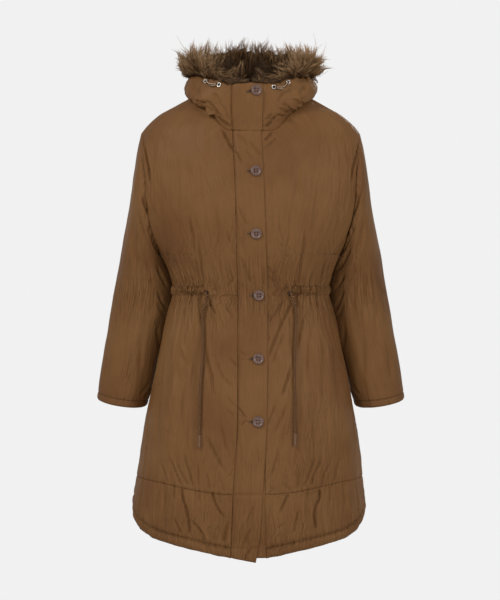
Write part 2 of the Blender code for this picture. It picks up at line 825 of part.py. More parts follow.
def hood_station(angle, index):
    """One station of the hood's profile; index 0 is the neck seam."""
    seam = hood_seam(angle)
    if index <= 0:
        return seam
    name = HOOD_STATIONS[min(index, len(HOOD_STATIONS)) - 1]
    away = abs(tidy_angle(angle))
    out = read_table(HOOD_PROFILES, "angle", name + "_out", away)
    up = read_table(HOOD_PROFILES, "angle", name + "_up", away)
    radians = math.radians(angle)
    direction = Vector((math.sin(radians), -math.cos(radians), 0))
    return seam + direction * out + Vector((0, 0, up))


def hood_smooth(angle, share):
    """Catmull-Rom curve through the profile's stations."""
    spans = len(HOOD_STATIONS)
    along = min(max(share, 0.0), 1.0) * spans
    index = min(int(along), spans - 1)
    t = along - index
    points = [hood_station(angle, i) for i in (index - 1, index, index + 1, index + 2)]
    if index == 0:
        points[0] = points[1] * 2 - points[2]
    if index == spans - 1:
        points[3] = points[2] * 2 - points[1]
    return (
        points[1] * 2
        + (points[2] - points[0]) * t
        + (points[0] * 2 - points[1] * 5 + points[2] * 4 - points[3]) * t**2
        + (points[1] * 3 - points[0] - points[2] * 3 + points[3]) * t**3
    ) / 2


def hood_normal(angle, share):
    step = 0.01
    low = max(share - step, 0.0)
    high = min(share + step, 1.0)
    along = hood_smooth(angle, high) - hood_smooth(angle, low)
    across = hood_smooth(angle + 1.0, share) - hood_smooth(angle - 1.0, share)
    return across.cross(along).normalized()


HOOD_PUCKER = 2.0
HOOD_PUCKERS_AROUND = 26


def hood_point(angle, share):
    """A place on the hood's outer surface, with puckers above its neck seam."""
    away = abs(tidy_angle(angle))
    turn = math.radians(angle * HOOD_PUCKERS_AROUND) + math.sin(math.radians(5 * angle))
    wave = (1 + math.cos(turn)) / 2
    ends = smooth_step((away - 16.0) / 14.0)
    rise = HOOD_PUCKER * wave * ends * math.exp(-(((share - 0.36) / 0.16) ** 2))
    return hood_smooth(angle, share) + hood_normal(angle, share) * rise


def hood_angles(start_angle, end_angle):
    """Angles from start to end, on every whole step between them."""
    first = math.ceil(start_angle / HOOD_STEP + 0.2)
    last = math.floor(end_angle / HOOD_STEP - 0.2)
    return [start_angle] + [HOOD_STEP * i for i in range(first, last + 1)] + [end_angle]


def hood_rows(start_angle, end_angle):
    angles = hood_angles(start_angle, end_angle)
    return [[(angle, 1.0 - r / HOOD_ROWS) for angle in angles] for r in range(HOOD_ROWS + 1)]


def hood_angle_at_x(x):
    """The angle on the hood's front where its seam has this x."""
    return angle_at_x(x, neck_height(0.0))


PLACKET_TOP_HEIGHT = -10.0    # the placket row whose width the hood's placket has
HOOD_HIDDEN_WIDTH = 12.0      # from the placket's seam to the left half's hidden edge
HOOD_BACK_GAP = 0.12          # degrees


def make_hood(shell):
    seam_x = placket_x("x_seam", PLACKET_TOP_HEIGHT)
    right = hood_rows(-180.0 + HOOD_BACK_GAP, hood_angle_at_x(seam_x))
    left = hood_rows(hood_angle_at_x(seam_x + HOOD_HIDDEN_WIDTH), 180.0 - HOOD_BACK_GAP)
    edges = ("bottom", "start", "end")
    for name, rows in (("hood_right", right), ("hood_left", left)):
        cloth_wall(name, rows, hood_point, hood_normal, shell, edges, inside=hood_smooth)


def placket_top_surface(share, rise):
    seam = hood_angle_at_x(placket_x("x_seam", PLACKET_TOP_HEIGHT))
    free = hood_angle_at_x(placket_x("x_free", PLACKET_TOP_HEIGHT))
    angle = blend(seam, free, share)
    return hood_smooth(angle, rise) + hood_normal(angle, rise) * placket_lift(share)


def placket_top_normal(share, rise):
    return surface_normal(placket_top_surface, share, rise, 0.01, 0.01)


PLACKET_TOP_RISE = 0.985
PLACKET_TOP_FOOT = 0.01
PLACKET_TOP_ROWS = 6


def make_placket_top(shell):
    rises = [
        blend(PLACKET_TOP_RISE, PLACKET_TOP_FOOT, i / PLACKET_TOP_ROWS)
        for i in range(PLACKET_TOP_ROWS + 1)
    ]
    rows = [[(share, rise) for share in PLACKET_SHARES] for rise in rises]
    cloth_wall(
        "placket_top", rows, placket_top_surface, placket_top_normal, shell, ("bottom", "start"),
        wall=OVERLAY_WALL,
    )


# ---------------------------------------------------------------- fur
FUR_CLEARANCE = 1.2
FUR_LONGEST_DROP = 14.0
FUR_LINING_GAP = 0.8


def hood_inside(angle, share):
    """A place just clear of the hood's inner face."""
    return hood_smooth(angle, share) - hood_normal(angle, share) * (WALL + FUR_CLEARANCE)


def fur_size(column, angle):
    return read_table(FUR_ROWS, "angle", column, abs(tidy_angle(angle)))


def fur_lock(angle, shift):
    """Uneven locks around the rim."""
    radians = math.radians(angle)
    return 1.0 + 0.07 * math.sin(19 * radians + shift) + 0.06 * math.sin(31 * radians + 2 * shift)


# Places around the fur's section, as shares of the sizes in FUR_ROWS; shift varies the locks.
FurPlace = namedtuple("FurPlace", "out inside rise outside_drop inside_drop shift")
FUR_LOOP = [
    FurPlace(0.55, 0, 0, 0.9, 0, 0.4),
    FurPlace(1, 0, 0.34, 0, 0, 1.1),
    FurPlace(0.74, 0, 0.76, 0, 0, 2.3),
    FurPlace(0.1, 0.12, 1, 0, 0, 3.9),
    FurPlace(0, 0.62, 0.72, 0, 0, 5.2),
    FurPlace(0, 1, 0.05, 0, 0, 6.1),
    FurPlace(0, 0.86, 0, 0, 1, 7.0),
]


def fur_section(angle):
    """The trim's section at one angle, as a loop of points around the rim."""
    radians = math.radians(angle)
    outward = Vector((math.sin(radians), -math.cos(radians), 0))
    upward = Vector((0, 0, 1))
    rim = hood_smooth(angle, 1.0)
    normal = hood_normal(angle, 1.0)
    sizes = FurRow(angle, *(fur_size(column, angle) for column in FurRow._fields[1:]))
    outside_share = 1.0 - sizes.outside_drop / FUR_LONGEST_DROP / HOOD_ROWS
    inside_share = 1.0 - 2 / HOOD_ROWS
    halfway_share = 1.0 - 1 / HOOD_ROWS
    inner_low = hood_inside(angle, inside_share)
    inner_middle = hood_inside(angle, halfway_share)
    inner_top = rim + upward * FUR_CLEARANCE - normal * (WALL + FUR_CLEARANCE)
    outer_top = rim + upward * FUR_CLEARANCE + normal * FUR_CLEARANCE
    outer_low = (
        hood_smooth(angle, outside_share) + hood_normal(angle, outside_share) * FUR_CLEARANCE
    )
    loop = [inner_low, inner_middle, inner_top, outer_top, outer_low]
    for place in FUR_LOOP:
        lock = fur_lock(angle, place.shift)
        out = sizes.out * place.out - sizes.inside * place.inside
        up = sizes.rise * place.rise
        up -= sizes.outside_drop * place.outside_drop + sizes.inside_drop * place.inside_drop
        loop.append(rim + (outward * out + upward * up) * lock)
    return loop


def make_fur_trim(fur):
    """A strip of fur sewn round the rim, its two ends meeting at the centre front."""
    end_gap = 0.25
    angles = hood_angles(end_gap, 360.0 - end_gap)
    loops = [fur_section(angle) for angle in angles]
    size = len(loops[0])
    points = [point * MM for loop in loops for point in loop]
    faces = []
    spans = len(loops) - 1
    for c in range(spans):
        for i in range(size):
            following = (i + 1) % size
            faces.append(
                (c * size + i, (c + 1) * size + i, (c + 1) * size + following, c * size + following)
            )
    faces.append(tuple(range(size)))
    faces.append(tuple(reversed(range(spans * size, spans * size + size))))
    add_object("hood_fur_trim", points, faces, fur)


FUR_LINING_STEPS = (7, 6, 5, 4)   # hood rows that it lies on, top to bottom


def make_fur_lining(fur):
    """Fur on the inside of the hood, from below the trim to its lowest fold."""
    end_gap = 1.0
    angles = hood_angles(end_gap, 360.0 - end_gap)
    rows = [[(angle, step / HOOD_ROWS) for angle in angles] for step in FUR_LINING_STEPS]
    cloth_wall(
        "hood_fur_lining", rows, hood_smooth, hood_normal, fur, (),
        lift=-(WALL + FUR_LINING_GAP), wall=FUR_LINING_WALL,
    )


# ---------------------------------------------------------------- buttons, eyelets and cords
def facing(place, normal):
    """A matrix that puts local +Z on the normal and local X level."""
    z_axis = normal.normalized()
    x_axis = Vector((0, 0, 1)).cross(z_axis).normalized() * -1.0
    y_axis = z_axis.cross(x_axis)
    matrix = Matrix((x_axis, y_axis, z_axis)).transposed().to_4x4()
    matrix.translation = place * MM
    return matrix


def turned(profile, segments):
    """Points and faces of a closed solid turned about local Z from (radius, z) rows."""
    points = []
    for radius, z in profile:
        for s in range(segments):
            turn = 2 * math.pi * s / segments
            points.append(Vector((radius * math.cos(turn), radius * math.sin(turn), z)) * MM)
    return points, ring_faces(len(profile), segments)


def ring_faces(rings, segments):
    """Faces of a tube through equal rings of points."""
    faces = []
    for r in range(rings - 1):
        for s in range(segments):
            t = (s + 1) % segments
            faces.append(
                (r * segments + s, r * segments + t, (r + 1) * segments + t, (r + 1) * segments + s)
            )
    return faces


def end_faces(rings, segments):
    """The two flat ends of a tube."""
    last = (rings - 1) * segments
    return [tuple(reversed(range(segments))), tuple(range(last, last + segments))]


BUTTON_SEGMENTS = 14
BUTTON_HOLE_RADIUS = 1.0
BUTTON_HOLE_OFFSET = 2.1


def button_mesh(material):
    """A four-hole button with a raised rim, its back on local z = 0."""
    radius = BUTTON_DIAMETER / 2
    profile = (
        (radius - 1.2, 0.0),
        (radius, 1.2),
        (radius - 0.5, BUTTON_THICKNESS),
        (radius - 2.4, BUTTON_THICKNESS),
        (radius - 3.4, BUTTON_THICKNESS - 1.1),
    )
    points, faces = turned(profile, BUTTON_SEGMENTS)
    faces += end_faces(len(profile), BUTTON_SEGMENTS)
    body = add_object("button_blank", points, faces, material)
    cutters = []
    for x_side in (-1, 1):
        for y_side in (-1, 1):
            place = Vector((x_side, y_side, 0)) * BUTTON_HOLE_OFFSET * MM
            hole = bpy.data.meshes.new("button_hole")
            shape = bmesh.new()
            bmesh.ops.create_cone(
                shape, cap_ends=True, segments=4, depth=12 * MM,
                radius1=BUTTON_HOLE_RADIUS * MM, radius2=BUTTON_HOLE_RADIUS * MM,
                matrix=Matrix.Translation(place),
            )
            shape.to_mesh(hole)
            shape.free()
            cutter = bpy.data.objects.new("button_hole", hole)
            bpy.context.scene.collection.objects.link(cutter)
            modifier = body.modifiers.new("hole", "BOOLEAN")
            modifier.operation = "DIFFERENCE"
            modifier.object = cutter
            cutters.append(cutter)
    evaluated = body.evaluated_get(bpy.context.evaluated_depsgraph_get())
    mesh = bpy.data.meshes.new_from_object(evaluated)
    mesh.name = "button"
    for spare in cutters + [body]:
        bpy.data.objects.remove(spare)
    return mesh


def placket_share(x, height):
    seam = placket_x("x_seam", height)
    return (x - seam) / (placket_x("x_free", height) - seam)


HOOD_BUTTON_RISE = 0.84       # of the way from the neck seam to the rim


def button_seat(place):
    """Where a button's back sits and which way it faces."""
    if place.height > neck_height(0.0):
        spot = placket_share(place.x, PLACKET_TOP_HEIGHT), HOOD_BUTTON_RISE
        return placket_top_surface(*spot), placket_top_normal(*spot)
    share = placket_share(place.x, place.height)
    return placket_surface(share, place.height), placket_normal(share, place.height)


def make_buttons(material):
    mesh = button_mesh(material)
    for number, place in enumerate(BUTTONS, start=1):
        seat, normal = button_seat(place)
        button = bpy.data.objects.new(f"button_{number}", mesh)
        button.matrix_world = facing(seat + normal * BUTTON_SHANK, normal)
        bpy.context.scene.collection.objects.link(button)


def eyelet_mesh(material):
    """A flat rounded metal ring, its back on local z = 0."""
    segments = 10
    outer = EYELET_DIAMETER / 2
    hole = EYELET_HOLE / 2
    profile = (
        (hole, 0.0),
        (outer, 0.0),
        (outer - 0.5, 1.1),
        (hole + 0.7, 1.6),
    )
    points, faces = turned(profile, segments)
    last = (len(profile) - 1) * segments
    for s in range(segments):
        t = (s + 1) % segments
        faces.append((last + s, last + t, t, s))
    ring = add_object("eyelet_blank", points, faces, material)
    mesh = ring.data
    mesh.name = "eyelet"
    bpy.data.objects.remove(ring)
    return mesh


HOOD_EYELET_RISE = 0.92
HoodEyelets = namedtuple("HoodEyelets", "side outer_angle inner_angle")
HOOD_EYELETS = [
    HoodEyelets("right", -26.5, -15.0),
    HoodEyelets("left", 19.5, 10.5),
]


def make_eyelets(material):
    mesh = eyelet_mesh(material)
    for name, x in (("waist_eyelet_right", EYELET_X_RIGHT), ("waist_eyelet_left", EYELET_X_LEFT)):
        height = RIGHT_CORD[0].height if x < 0 else LEFT_CORD[0].height
        seat, normal = front_point_at(x, height)
        place_piece(name, mesh, seat, normal)
    for pair in HOOD_EYELETS:
        for place, angle in (("outer", pair.outer_angle), ("inner", pair.inner_angle)):
            seat = hood_point(angle, HOOD_EYELET_RISE)
            normal = hood_normal(angle, HOOD_EYELET_RISE)
            place_piece(f"hood_eyelet_{pair.side}_{place}", mesh, seat, normal)


def place_piece(name, mesh, seat, normal):
    piece = bpy.data.objects.new(name, mesh)
    piece.matrix_world = facing(seat + normal * EYELET_LIFT, normal)
    bpy.context.scene.collection.objects.link(piece)
    return piece


def cord_route(points):
    """The cord's centre line in millimetres, held off the front of the skirt."""
    route = []
    for point in points:
        angle = angle_at_x(point.x, point.height)
        lift = point.lift + fold_rise(point.x, point.height, True)
        surface = plain_body(angle, point.height)
        route.append(surface + body_normal(angle, point.height) * lift)
    return route


def smooth_route(points, spacing):
    """Points about one spacing apart on a Catmull-Rom curve through a route."""
    route = []
    padded = [points[0] * 2 - points[1]] + points + [points[-1] * 2 - points[-2]]
    for i in range(1, len(padded) - 2):
        a, b, c, d = padded[i - 1 : i + 3]
        count = max(1, round((c - b).length / spacing))
        for k in range(count):
            t = k / count
            route.append(
                (
                    b * 2
                    + (c - a) * t
                    + (a * 2 - b * 5 + c * 4 - d) * t**2
                    + (b * 3 - a - c * 3 + d) * t**3
                )
                / 2
            )
    route.append(points[-1])
    return route


CORD_SIDES = 8
CORD_RING_SPACING = 16.0


def cord_tube(name, route, diameter, material):
    """A round cord along a route that never points straight forwards."""
    points = []
    for i, place in enumerate(route):
        along = (route[min(i + 1, len(route) - 1)] - route[max(i - 1, 0)]).normalized()
        first_axis = along.cross(Vector((0, 1, 0))).normalized()
        second_axis = along.cross(first_axis)
        for s in range(CORD_SIDES):
            turn = 2 * math.pi * s / CORD_SIDES
            spoke = first_axis * math.cos(turn) + second_axis * math.sin(turn)
            points.append((place + spoke * diameter / 2) * MM)
    faces = ring_faces(len(route), CORD_SIDES)
    faces += end_faces(len(route), CORD_SIDES)
    return add_object(name, points, faces, material)


def make_waist_cords(cord, tip):
    """Each drawcord's free end with its tip."""
    for side, points in (("right", RIGHT_CORD), ("left", LEFT_CORD)):
        route = smooth_route(cord_route(points), CORD_RING_SPACING)
        cord_tube(f"waist_cord_{side}", route, CORD_DIAMETER, cord)
        end = points[-1]
        tip_end = CordPoint(end.x, end.height - CORD_TIP_LENGTH, end.lift)
        downward = (cord_route([tip_end])[0] - route[-1]).normalized()
        radius = CORD_DIAMETER / 2
        profile = (
            (radius * 0.75, SEAM_GAP),
            (radius, SEAM_GAP + 1.0),
            (radius, CORD_TIP_LENGTH - 2.0),
            (radius * 0.55, CORD_TIP_LENGTH),
        )
        tube_points, faces = turned(profile, CORD_SIDES)
        faces += end_faces(len(profile), CORD_SIDES)
        piece = add_object(f"waist_cord_tip_{side}", tube_points, faces, tip)
        turn = Vector((0, 0, 1)).rotation_difference(downward)
        piece.matrix_world = Matrix.Translation(route[-1] * MM) @ turn.to_matrix().to_4x4()


HOOD_CORD_STEPS = 5
HOOD_CORD_END = 0.08          # share of the way between its eyelets where it begins
HOOD_CORD_LIFT = 4.8
HOOD_CORD_BULGE = 2.2
HOOD_CORD_SAG = 0.07


def make_hood_cords(cord):
    """The short bridge of drawcord between each pair of hood eyelets."""
    for pair in HOOD_EYELETS:
        route = []
        for i in range(HOOD_CORD_STEPS + 1):
            share = blend(HOOD_CORD_END, 1 - HOOD_CORD_END, i / HOOD_CORD_STEPS)
            angle = blend(pair.outer_angle, pair.inner_angle, share)
            sag = math.sin(math.pi * i / HOOD_CORD_STEPS)
            rise = HOOD_EYELET_RISE - HOOD_CORD_SAG * sag
            lift = HOOD_CORD_LIFT + HOOD_CORD_BULGE * sag
            route.append(hood_smooth(angle, rise) + hood_normal(angle, rise) * lift)
        cord_tube(f"hood_cord_{pair.side}", route, HOOD_CORD_DIAMETER, cord)


# ---------------------------------------------------------------- materials and the whole coat
def make_material(name, colour, roughness, metallic=0.0):
    material = bpy.data.materials.new(name)
    material.use_nodes = True
    shader = material.node_tree.nodes["Principled BSDF"]
    shader.inputs["Base Color"].default_value = (*colour, 1)
    shader.inputs["Roughness"].default_value = roughness
    shader.inputs["Metallic"].default_value = metallic
    return material


def main():
    for old in list(bpy.context.scene.objects):
        bpy.data.objects.remove(old)
    shell = make_material("brown_nylon", (0.17, 0.08, 0.032), 0.5)
    fur = make_material("taupe_fur", (0.16, 0.10, 0.06), 0.9)
    button = make_material("mauve_brown_plastic", (0.16, 0.10, 0.085), 0.35)
    metal = make_material("pale_metal", (0.62, 0.56, 0.48), 0.25, 1.0)
    cord = make_material("braided_cord", (0.12, 0.065, 0.04), 0.8)
    tip = make_material("tan_tip", (0.28, 0.18, 0.12), 0.4)
    make_fronts(shell)
    make_back(shell)
    make_bands(shell)
    make_casings(shell)
    make_placket(shell)
    make_underlap(shell)
    make_sleeves(shell)
    make_hood(shell)
    make_placket_top(shell)
    make_fur_trim(fur)
    make_fur_lining(fur)
    make_buttons(button)
    make_eyelets(metal)
    make_waist_cords(cord, tip)
    make_hood_cords(cord)


main()
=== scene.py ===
"""The looks of the fur trimmed parka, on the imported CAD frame.

Every cloth piece follows the same form as its solid, from the same tables, with the finer
folds, gathers, seams and stitches on top. Sizes are in millimetres until add_mesh.
Creases are placed by where they show in the front view, in picture units of 2.2 mm.
"""

import math
from collections import namedtuple

import bpy
import numpy as np
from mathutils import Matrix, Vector


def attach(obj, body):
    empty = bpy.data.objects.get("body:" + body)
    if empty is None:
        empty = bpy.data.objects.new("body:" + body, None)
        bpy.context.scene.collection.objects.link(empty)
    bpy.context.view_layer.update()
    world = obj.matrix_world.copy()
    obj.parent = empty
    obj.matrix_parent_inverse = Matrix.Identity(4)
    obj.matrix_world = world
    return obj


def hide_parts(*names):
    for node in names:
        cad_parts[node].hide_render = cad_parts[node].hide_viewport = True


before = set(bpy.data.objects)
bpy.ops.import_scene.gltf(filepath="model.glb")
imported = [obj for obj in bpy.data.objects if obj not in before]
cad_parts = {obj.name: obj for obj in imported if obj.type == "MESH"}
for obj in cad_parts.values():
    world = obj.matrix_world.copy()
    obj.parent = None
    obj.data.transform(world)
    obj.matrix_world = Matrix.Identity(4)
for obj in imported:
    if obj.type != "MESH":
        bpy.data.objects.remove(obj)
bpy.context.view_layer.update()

MM = 0.001
ROOT = "root"

# ---------------------------------------------------------------- sizes shared with the solids (mm)
WALL = 2.4
OVERLAY_GAP = 0.8
OVERLAY_WALL = 2.0
HOOD_SEAM_GAP = 1.2
SEWN_GAP = 0.3
SQUARENESS = 2.1
WAIST_HEIGHT = -408.0
CASING_DEPTH = 19.0
BUTTON_DIAMETER = 23.0
BUTTON_THICKNESS = 3.4
BUTTON_SHANK = 1.4
EYELET_DIAMETER = 10.5
EYELET_HOLE = 5.2
EYELET_LIFT = 1.2
EYELET_RISE = 2.0
CORD_DIAMETER = 6.4
CORD_TIP_LENGTH = 26.0
HOOD_CORD_DIAMETER = 4.0

Ring = namedtuple("Ring", "height half_width front_depth back_depth centre_x")
BODY_RINGS = [
    Ring(40, 78, 52, 70, 0),
    Ring(24, 104, 62, 80, 0),
    Ring(10, 137, 71, 92, 0),
    Ring(-6, 166, 80, 102, 0),
    Ring(-24, 199, 89, 109, 0),
    Ring(-42, 221, 96, 115, 0),
    Ring(-60, 239, 102, 120, 0),
    Ring(-100, 252, 112, 127, 0),
    Ring(-150, 258, 121, 132, 0),
    Ring(-195, 256, 126, 133, 0),
    Ring(-245, 243, 128, 132, 0),
    Ring(-290, 221, 127, 128, 0),
    Ring(-330, 197, 124, 123, 0),
    Ring(-370, 181, 118, 116, 0),
    Ring(-408, 173, 114, 112, 0),
    Ring(-450, 182, 120, 119, 0),
    Ring(-524, 197, 131, 133, 0),
    Ring(-620, 216, 143, 147, 0),
    Ring(-700, 232, 151, 156, 0),
    Ring(-763, 242, 156, 161, -1),
    Ring(-832, 250, 160, 165, -3),
    Ring(-900, 257, 163, 168, -4),
    Ring(-990, 261, 166, 171, -4),
]

NeckPoint = namedtuple("NeckPoint", "angle height")
NECK_CURVE = [
    NeckPoint(0, -68),
    NeckPoint(10, -66),
    NeckPoint(22, -32),
    NeckPoint(45, 4),
    NeckPoint(70, 18),
    NeckPoint(90, 24),
    NeckPoint(135, 27),
    NeckPoint(180, 28),
]

SideSeam = namedtuple("SideSeam", "height angle")
SIDE_SEAM = [
    SideSeam(-330, 97),
    SideSeam(-408, 95),
    SideSeam(-560, 90),
    SideSeam(-650, 83),
    SideSeam(-720, 72),
    SideSeam(-820, 67),
    SideSeam(-990, 66),
]

PlacketRow = namedtuple("PlacketRow", "height x_seam x_free x_underlap")
PLACKET = [
    PlacketRow(40, -41, 28, 20),
    PlacketRow(-68, -39, 23.5, 18),
    PlacketRow(-180, -34, 29, 23),
    PlacketRow(-327, -30, 33.5, 28),
    PlacketRow(-412, -28, 36.5, 31),
    PlacketRow(-665, -28, 35, 31),
    PlacketRow(-838, -37.5, 26, 30.5),
    PlacketRow(-923, -41, 20.5, 32.5),
    PlacketRow(-990, -43.5, 9, 34),
]

ARMHOLE_TOP = -60.0
ARMHOLE_BOTTOM = -330.0
ARMHOLE_FRONT_SPREAD = 31.0
ARMHOLE_BACK_SPREAD = 33.0

SleeveRow = namedtuple("SleeveRow", "row outer_x outer_z inner_x inner_z half_depth centre_y bow")
SLEEVE_ROWS = [
    SleeveRow(0, 239, -60, 195, -330, 70, 10, 11),
    SleeveRow(1, 247, -90, 196.5, -334, 72, 14, 16),
    SleeveRow(2, 254, -130, 194.5, -340, 73, 19, 17),
    SleeveRow(3, 262, -178, 191.5, -348, 73, 25, 15),
    SleeveRow(4, 270, -228, 188, -358, 72, 31, 12),
    SleeveRow(5, 279, -278, 184, -370, 70, 36, 9),
    SleeveRow(6, 289, -328, 179, -386, 67, 40, 6),
    SleeveRow(7, 298, -380, 175, -406, 63, 43, 3),
    SleeveRow(8, 308, -436, 180, -446, 60, 44, 0),
    SleeveRow(9, 319, -500, 193, -508, 57, 45, 0),
    SleeveRow(10, 329, -556, 206, -568, 54.5, 46, 0),
    SleeveRow(11, 337, -608, 218.5, -622, 52.5, 46, 0),
    SleeveRow(12, 342, -647, 231, -664, 51, 46, 0),
]
SLEEVE_LAST = 12

HoodProfile = namedtuple(
    "HoodProfile",
    "angle under_out under_up low_out low_up mid_out mid_up high_out high_up rim_out rim_up",
)
HOOD_PROFILES = [
    HoodProfile(0, 1, 16, 3, 36, 6, 60, 8, 82, 9, 102),
    HoodProfile(12, 3, 14, 7, 32, 9, 54, 9, 76, 8, 97),
    HoodProfile(24, 7, 3, 14, 10, 19, 30, 14, 52, 7, 74),
    HoodProfile(45, 13, -6, 22, -9, 29, 8, 20, 33, 6, 52),
    HoodProfile(70, 14, -3, 27, -5, 34, 9, 27, 28, 15, 45),
    HoodProfile(90, 16, -2, 31, -6, 40, 9, 36, 27, 25, 42),
    HoodProfile(120, 20, -4, 43, -15, 63, 2, 57, 31, 40, 50),
    HoodProfile(150, 30, -17, 61, -68, 92, -60, 90, 20, 50, 63),
    HoodProfile(165, 34, -24, 65, -93, 101, -87, 97, 16, 51, 70),
    HoodProfile(180, 37, -28, 66, -104, 104, -99, 100, 14, 52, 76),
]
HOOD_STATIONS = ("under", "low", "mid", "high", "rim")

ButtonPlace = namedtuple("ButtonPlace", "x height")
BUTTONS = [
    ButtonPlace(11.6, 18),
    ButtonPlace(11.0, -155),
    ButtonPlace(11.6, -288),
    ButtonPlace(17.2, -420),
    ButtonPlace(16.0, -554),
    ButtonPlace(15.3, -686),
]

Fold = namedtuple("Fold", "x_start z_start x_end z_end half_width rise front")
FOLDS = [
    Fold(-60, -430, -160, -640, 22, -5.0, True),
    Fold(70, -440, 150, -640, 22, -5.0, True),
    Fold(-150, -450, -185, -780, 24, 5.0, True),
    Fold(140, -450, 190, -760, 24, 5.0, True),
    Fold(-85, -560, -120, -800, 26, 4.5, True),
    Fold(95, -600, 105, -815, 26, 4.5, True),
    Fold(-150, -120, -90, -330, 34, -4.0, True),
    Fold(150, -120, 95, -320, 34, -4.0, True),
    Fold(-120, -430, -150, -780, 26, 6.0, False),
    Fold(-20, -440, -30, -800, 28, -6.0, False),
    Fold(90, -430, 130, -790, 26, 6.0, False),
    Fold(-140, -140, -60, -350, 36, -5.0, False),
    Fold(140, -130, 70, -350, 36, -5.0, False),
]

CordPoint = namedtuple("CordPoint", "x height lift")
RIGHT_CORD = [
    CordPoint(-95.0, -412.5, 5.4),
    CordPoint(-92.2, -417.5, 9.8),
    CordPoint(-90.4, -424.5, 11.4),
    CordPoint(-91.8, -433.5, 10.0),
    CordPoint(-96.0, -443.5, 7.4),
    CordPoint(-99.8, -455.0, 5.8),
    CordPoint(-101.6, -471.0, 5.4),
    CordPoint(-101.0, -492.0, 5.4),
    CordPoint(-101.0, -520.0, 5.4),
    CordPoint(-101.8, -560.0, 5.4),
    CordPoint(-103.0, -605.0, 5.4),
    CordPoint(-104.6, -650.0, 5.4),
    CordPoint(-105.4, -690.0, 5.4),
    CordPoint(-105.8, -716.0, 5.4),
]
LEFT_CORD = [
    CordPoint(83.5, -415.0, 5.4),
    CordPoint(84.6, -421.0, 9.6),
    CordPoint(87.2, -430.0, 10.8),
    CordPoint(91.2, -441.5, 8.6),
    CordPoint(94.6, -456.0, 6.0),
    CordPoint(95.9, -474.0, 5.4),
    CordPoint(95.0, -500.0, 5.4),
    CordPoint(93.0, -540.0, 5.4),
    CordPoint(91.6, -590.0, 5.4),
    CordPoint(91.0, -640.0, 5.4),
    CordPoint(90.8, -680.0, 5.4),
    CordPoint(91.4, -712.0, 5.4),
]
EYELET_X_RIGHT = -95.0
EYELET_X_LEFT = 83.5

MIDDLE_AT_SHOULDER = -124.0
MIDDLE_AT_UNDERARM = -338.0
NECK_FRONT_HEIGHT = -66.5
BELOW_ARM = -368.0
ABOVE_BAND = -755.0
BAND_SEAM_CENTRE = -839.0
BAND_SEAM_SIDE_RISE = 24.0
BAND_SEAM_SIDE = BAND_SEAM_CENTRE + BAND_SEAM_SIDE_RISE
HEM_CENTRE = -977.5
HEM_SLOPE = 51.0
HEM_ROUNDING = 0.03
HEM_CORNER_START = 46.0
HEM_CORNER_RISE = 55.0
PLACKET_FOOT_DROP = 10.0
FOOT_ANGLE = 9.0
PLACKET_WIDTH = 66.0
TRUNK_RADIUS = 190.0
WAIST_RADIUS = 175.0
SLEEVE_GIRTH = 400.0
PLACKET_TOP_HEIGHT = -10.0
PLACKET_TOP_RISE = 0.985
HOOD_HIDDEN_WIDTH = 12.0
HOOD_BUTTON_RISE = 0.84
HOOD_EYELET_RISE = 0.92
HOOD_CORD_END = 0.08
HOOD_CORD_LIFT = 4.8
HOOD_CORD_BULGE = 2.2
HOOD_CORD_SAG = 0.07

# ---------------------------------------------------------------- the front view
PICTURE_UNIT = 2.2            # mm
CAMERA_DISTANCE = 3600.0
CAMERA_X = -1.5
CAMERA_Z = -429.0
PICTURE_WIDTH = 500
PICTURE_HEIGHT = 600
SENSOR = 36.0


def seen_at(points):
    """Where points in millimetres show in the front view, in picture units."""
    nearness = CAMERA_DISTANCE / (CAMERA_DISTANCE + points[..., 1])
    across = PICTURE_WIDTH / 2 + (points[..., 0] - CAMERA_X) * nearness / PICTURE_UNIT
    down = PICTURE_HEIGHT / 2 - (points[..., 2] - CAMERA_Z) * nearness / PICTURE_UNIT
    return across, down


def make_camera():
    camera = bpy.data.objects.new("camera", bpy.data.cameras.new("camera"))
    bpy.context.scene.collection.objects.link(camera)
    camera.data.sensor_width = SENSOR
    camera.data.lens = SENSOR * CAMERA_DISTANCE / (PICTURE_HEIGHT * PICTURE_UNIT)
    camera.data.clip_start = 0.1
    camera.data.clip_end = 60.0
    camera.location = (CAMERA_X * MM, -CAMERA_DISTANCE * MM, CAMERA_Z * MM)
    camera.rotation_euler = (math.pi / 2, 0, 0)
    bpy.context.scene.camera = camera


# ---------------------------------------------------------------- small mathematics
class Curve:
    """A smooth line through one column of a table."""

    def __init__(self, rows, key, column):
        ordered = sorted(rows, key=lambda row: getattr(row, key))
        self.xs = np.array([getattr(row, key) for row in ordered], float)
        self.ys = np.array([getattr(row, column) for row in ordered], float)
        steps = np.diff(self.ys) / np.diff(self.xs)
        before, after = steps[:-1], steps[1:]
        total = np.where(before + after == 0, 1.0, before + after)
        inner = np.where(before * after <= 0, 0.0, 2 * before * after / total)
        self.slopes = np.concatenate([steps[:1], inner, steps[-1:]])

    def __call__(self, at):
        at = np.clip(np.asarray(at, float), self.xs[0], self.xs[-1])
        i = np.clip(np.searchsorted(self.xs, at, side="left") - 1, 0, len(self.xs) - 2)
        span = self.xs[i + 1] - self.xs[i]
        t = (at - self.xs[i]) / span
        return (
            (2 * t**3 - 3 * t**2 + 1) * self.ys[i]
            + (t**3 - 2 * t**2 + t) * span * self.slopes[i]
            + (3 * t**2 - 2 * t**3) * self.ys[i + 1]
            + (t**3 - t**2) * span * self.slopes[i + 1]
        )


def signed_power(value, exponent):
    return np.sign(value) * np.abs(value) ** exponent


def blend(low, high, share):
    return low + (high - low) * share


def smooth_step(share):
    share = np.clip(share, 0.0, 1.0)
    return share * share * (3 - 2 * share)


def ease_out(share):
    return 1.0 - (1.0 - share) ** 2


def tidy_angle(angle):
    return (np.asarray(angle, float) + 180.0) % 360.0 - 180.0


def unit(vectors):
    return vectors / np.maximum(np.linalg.norm(vectors, axis=-1, keepdims=True), 1e-9)


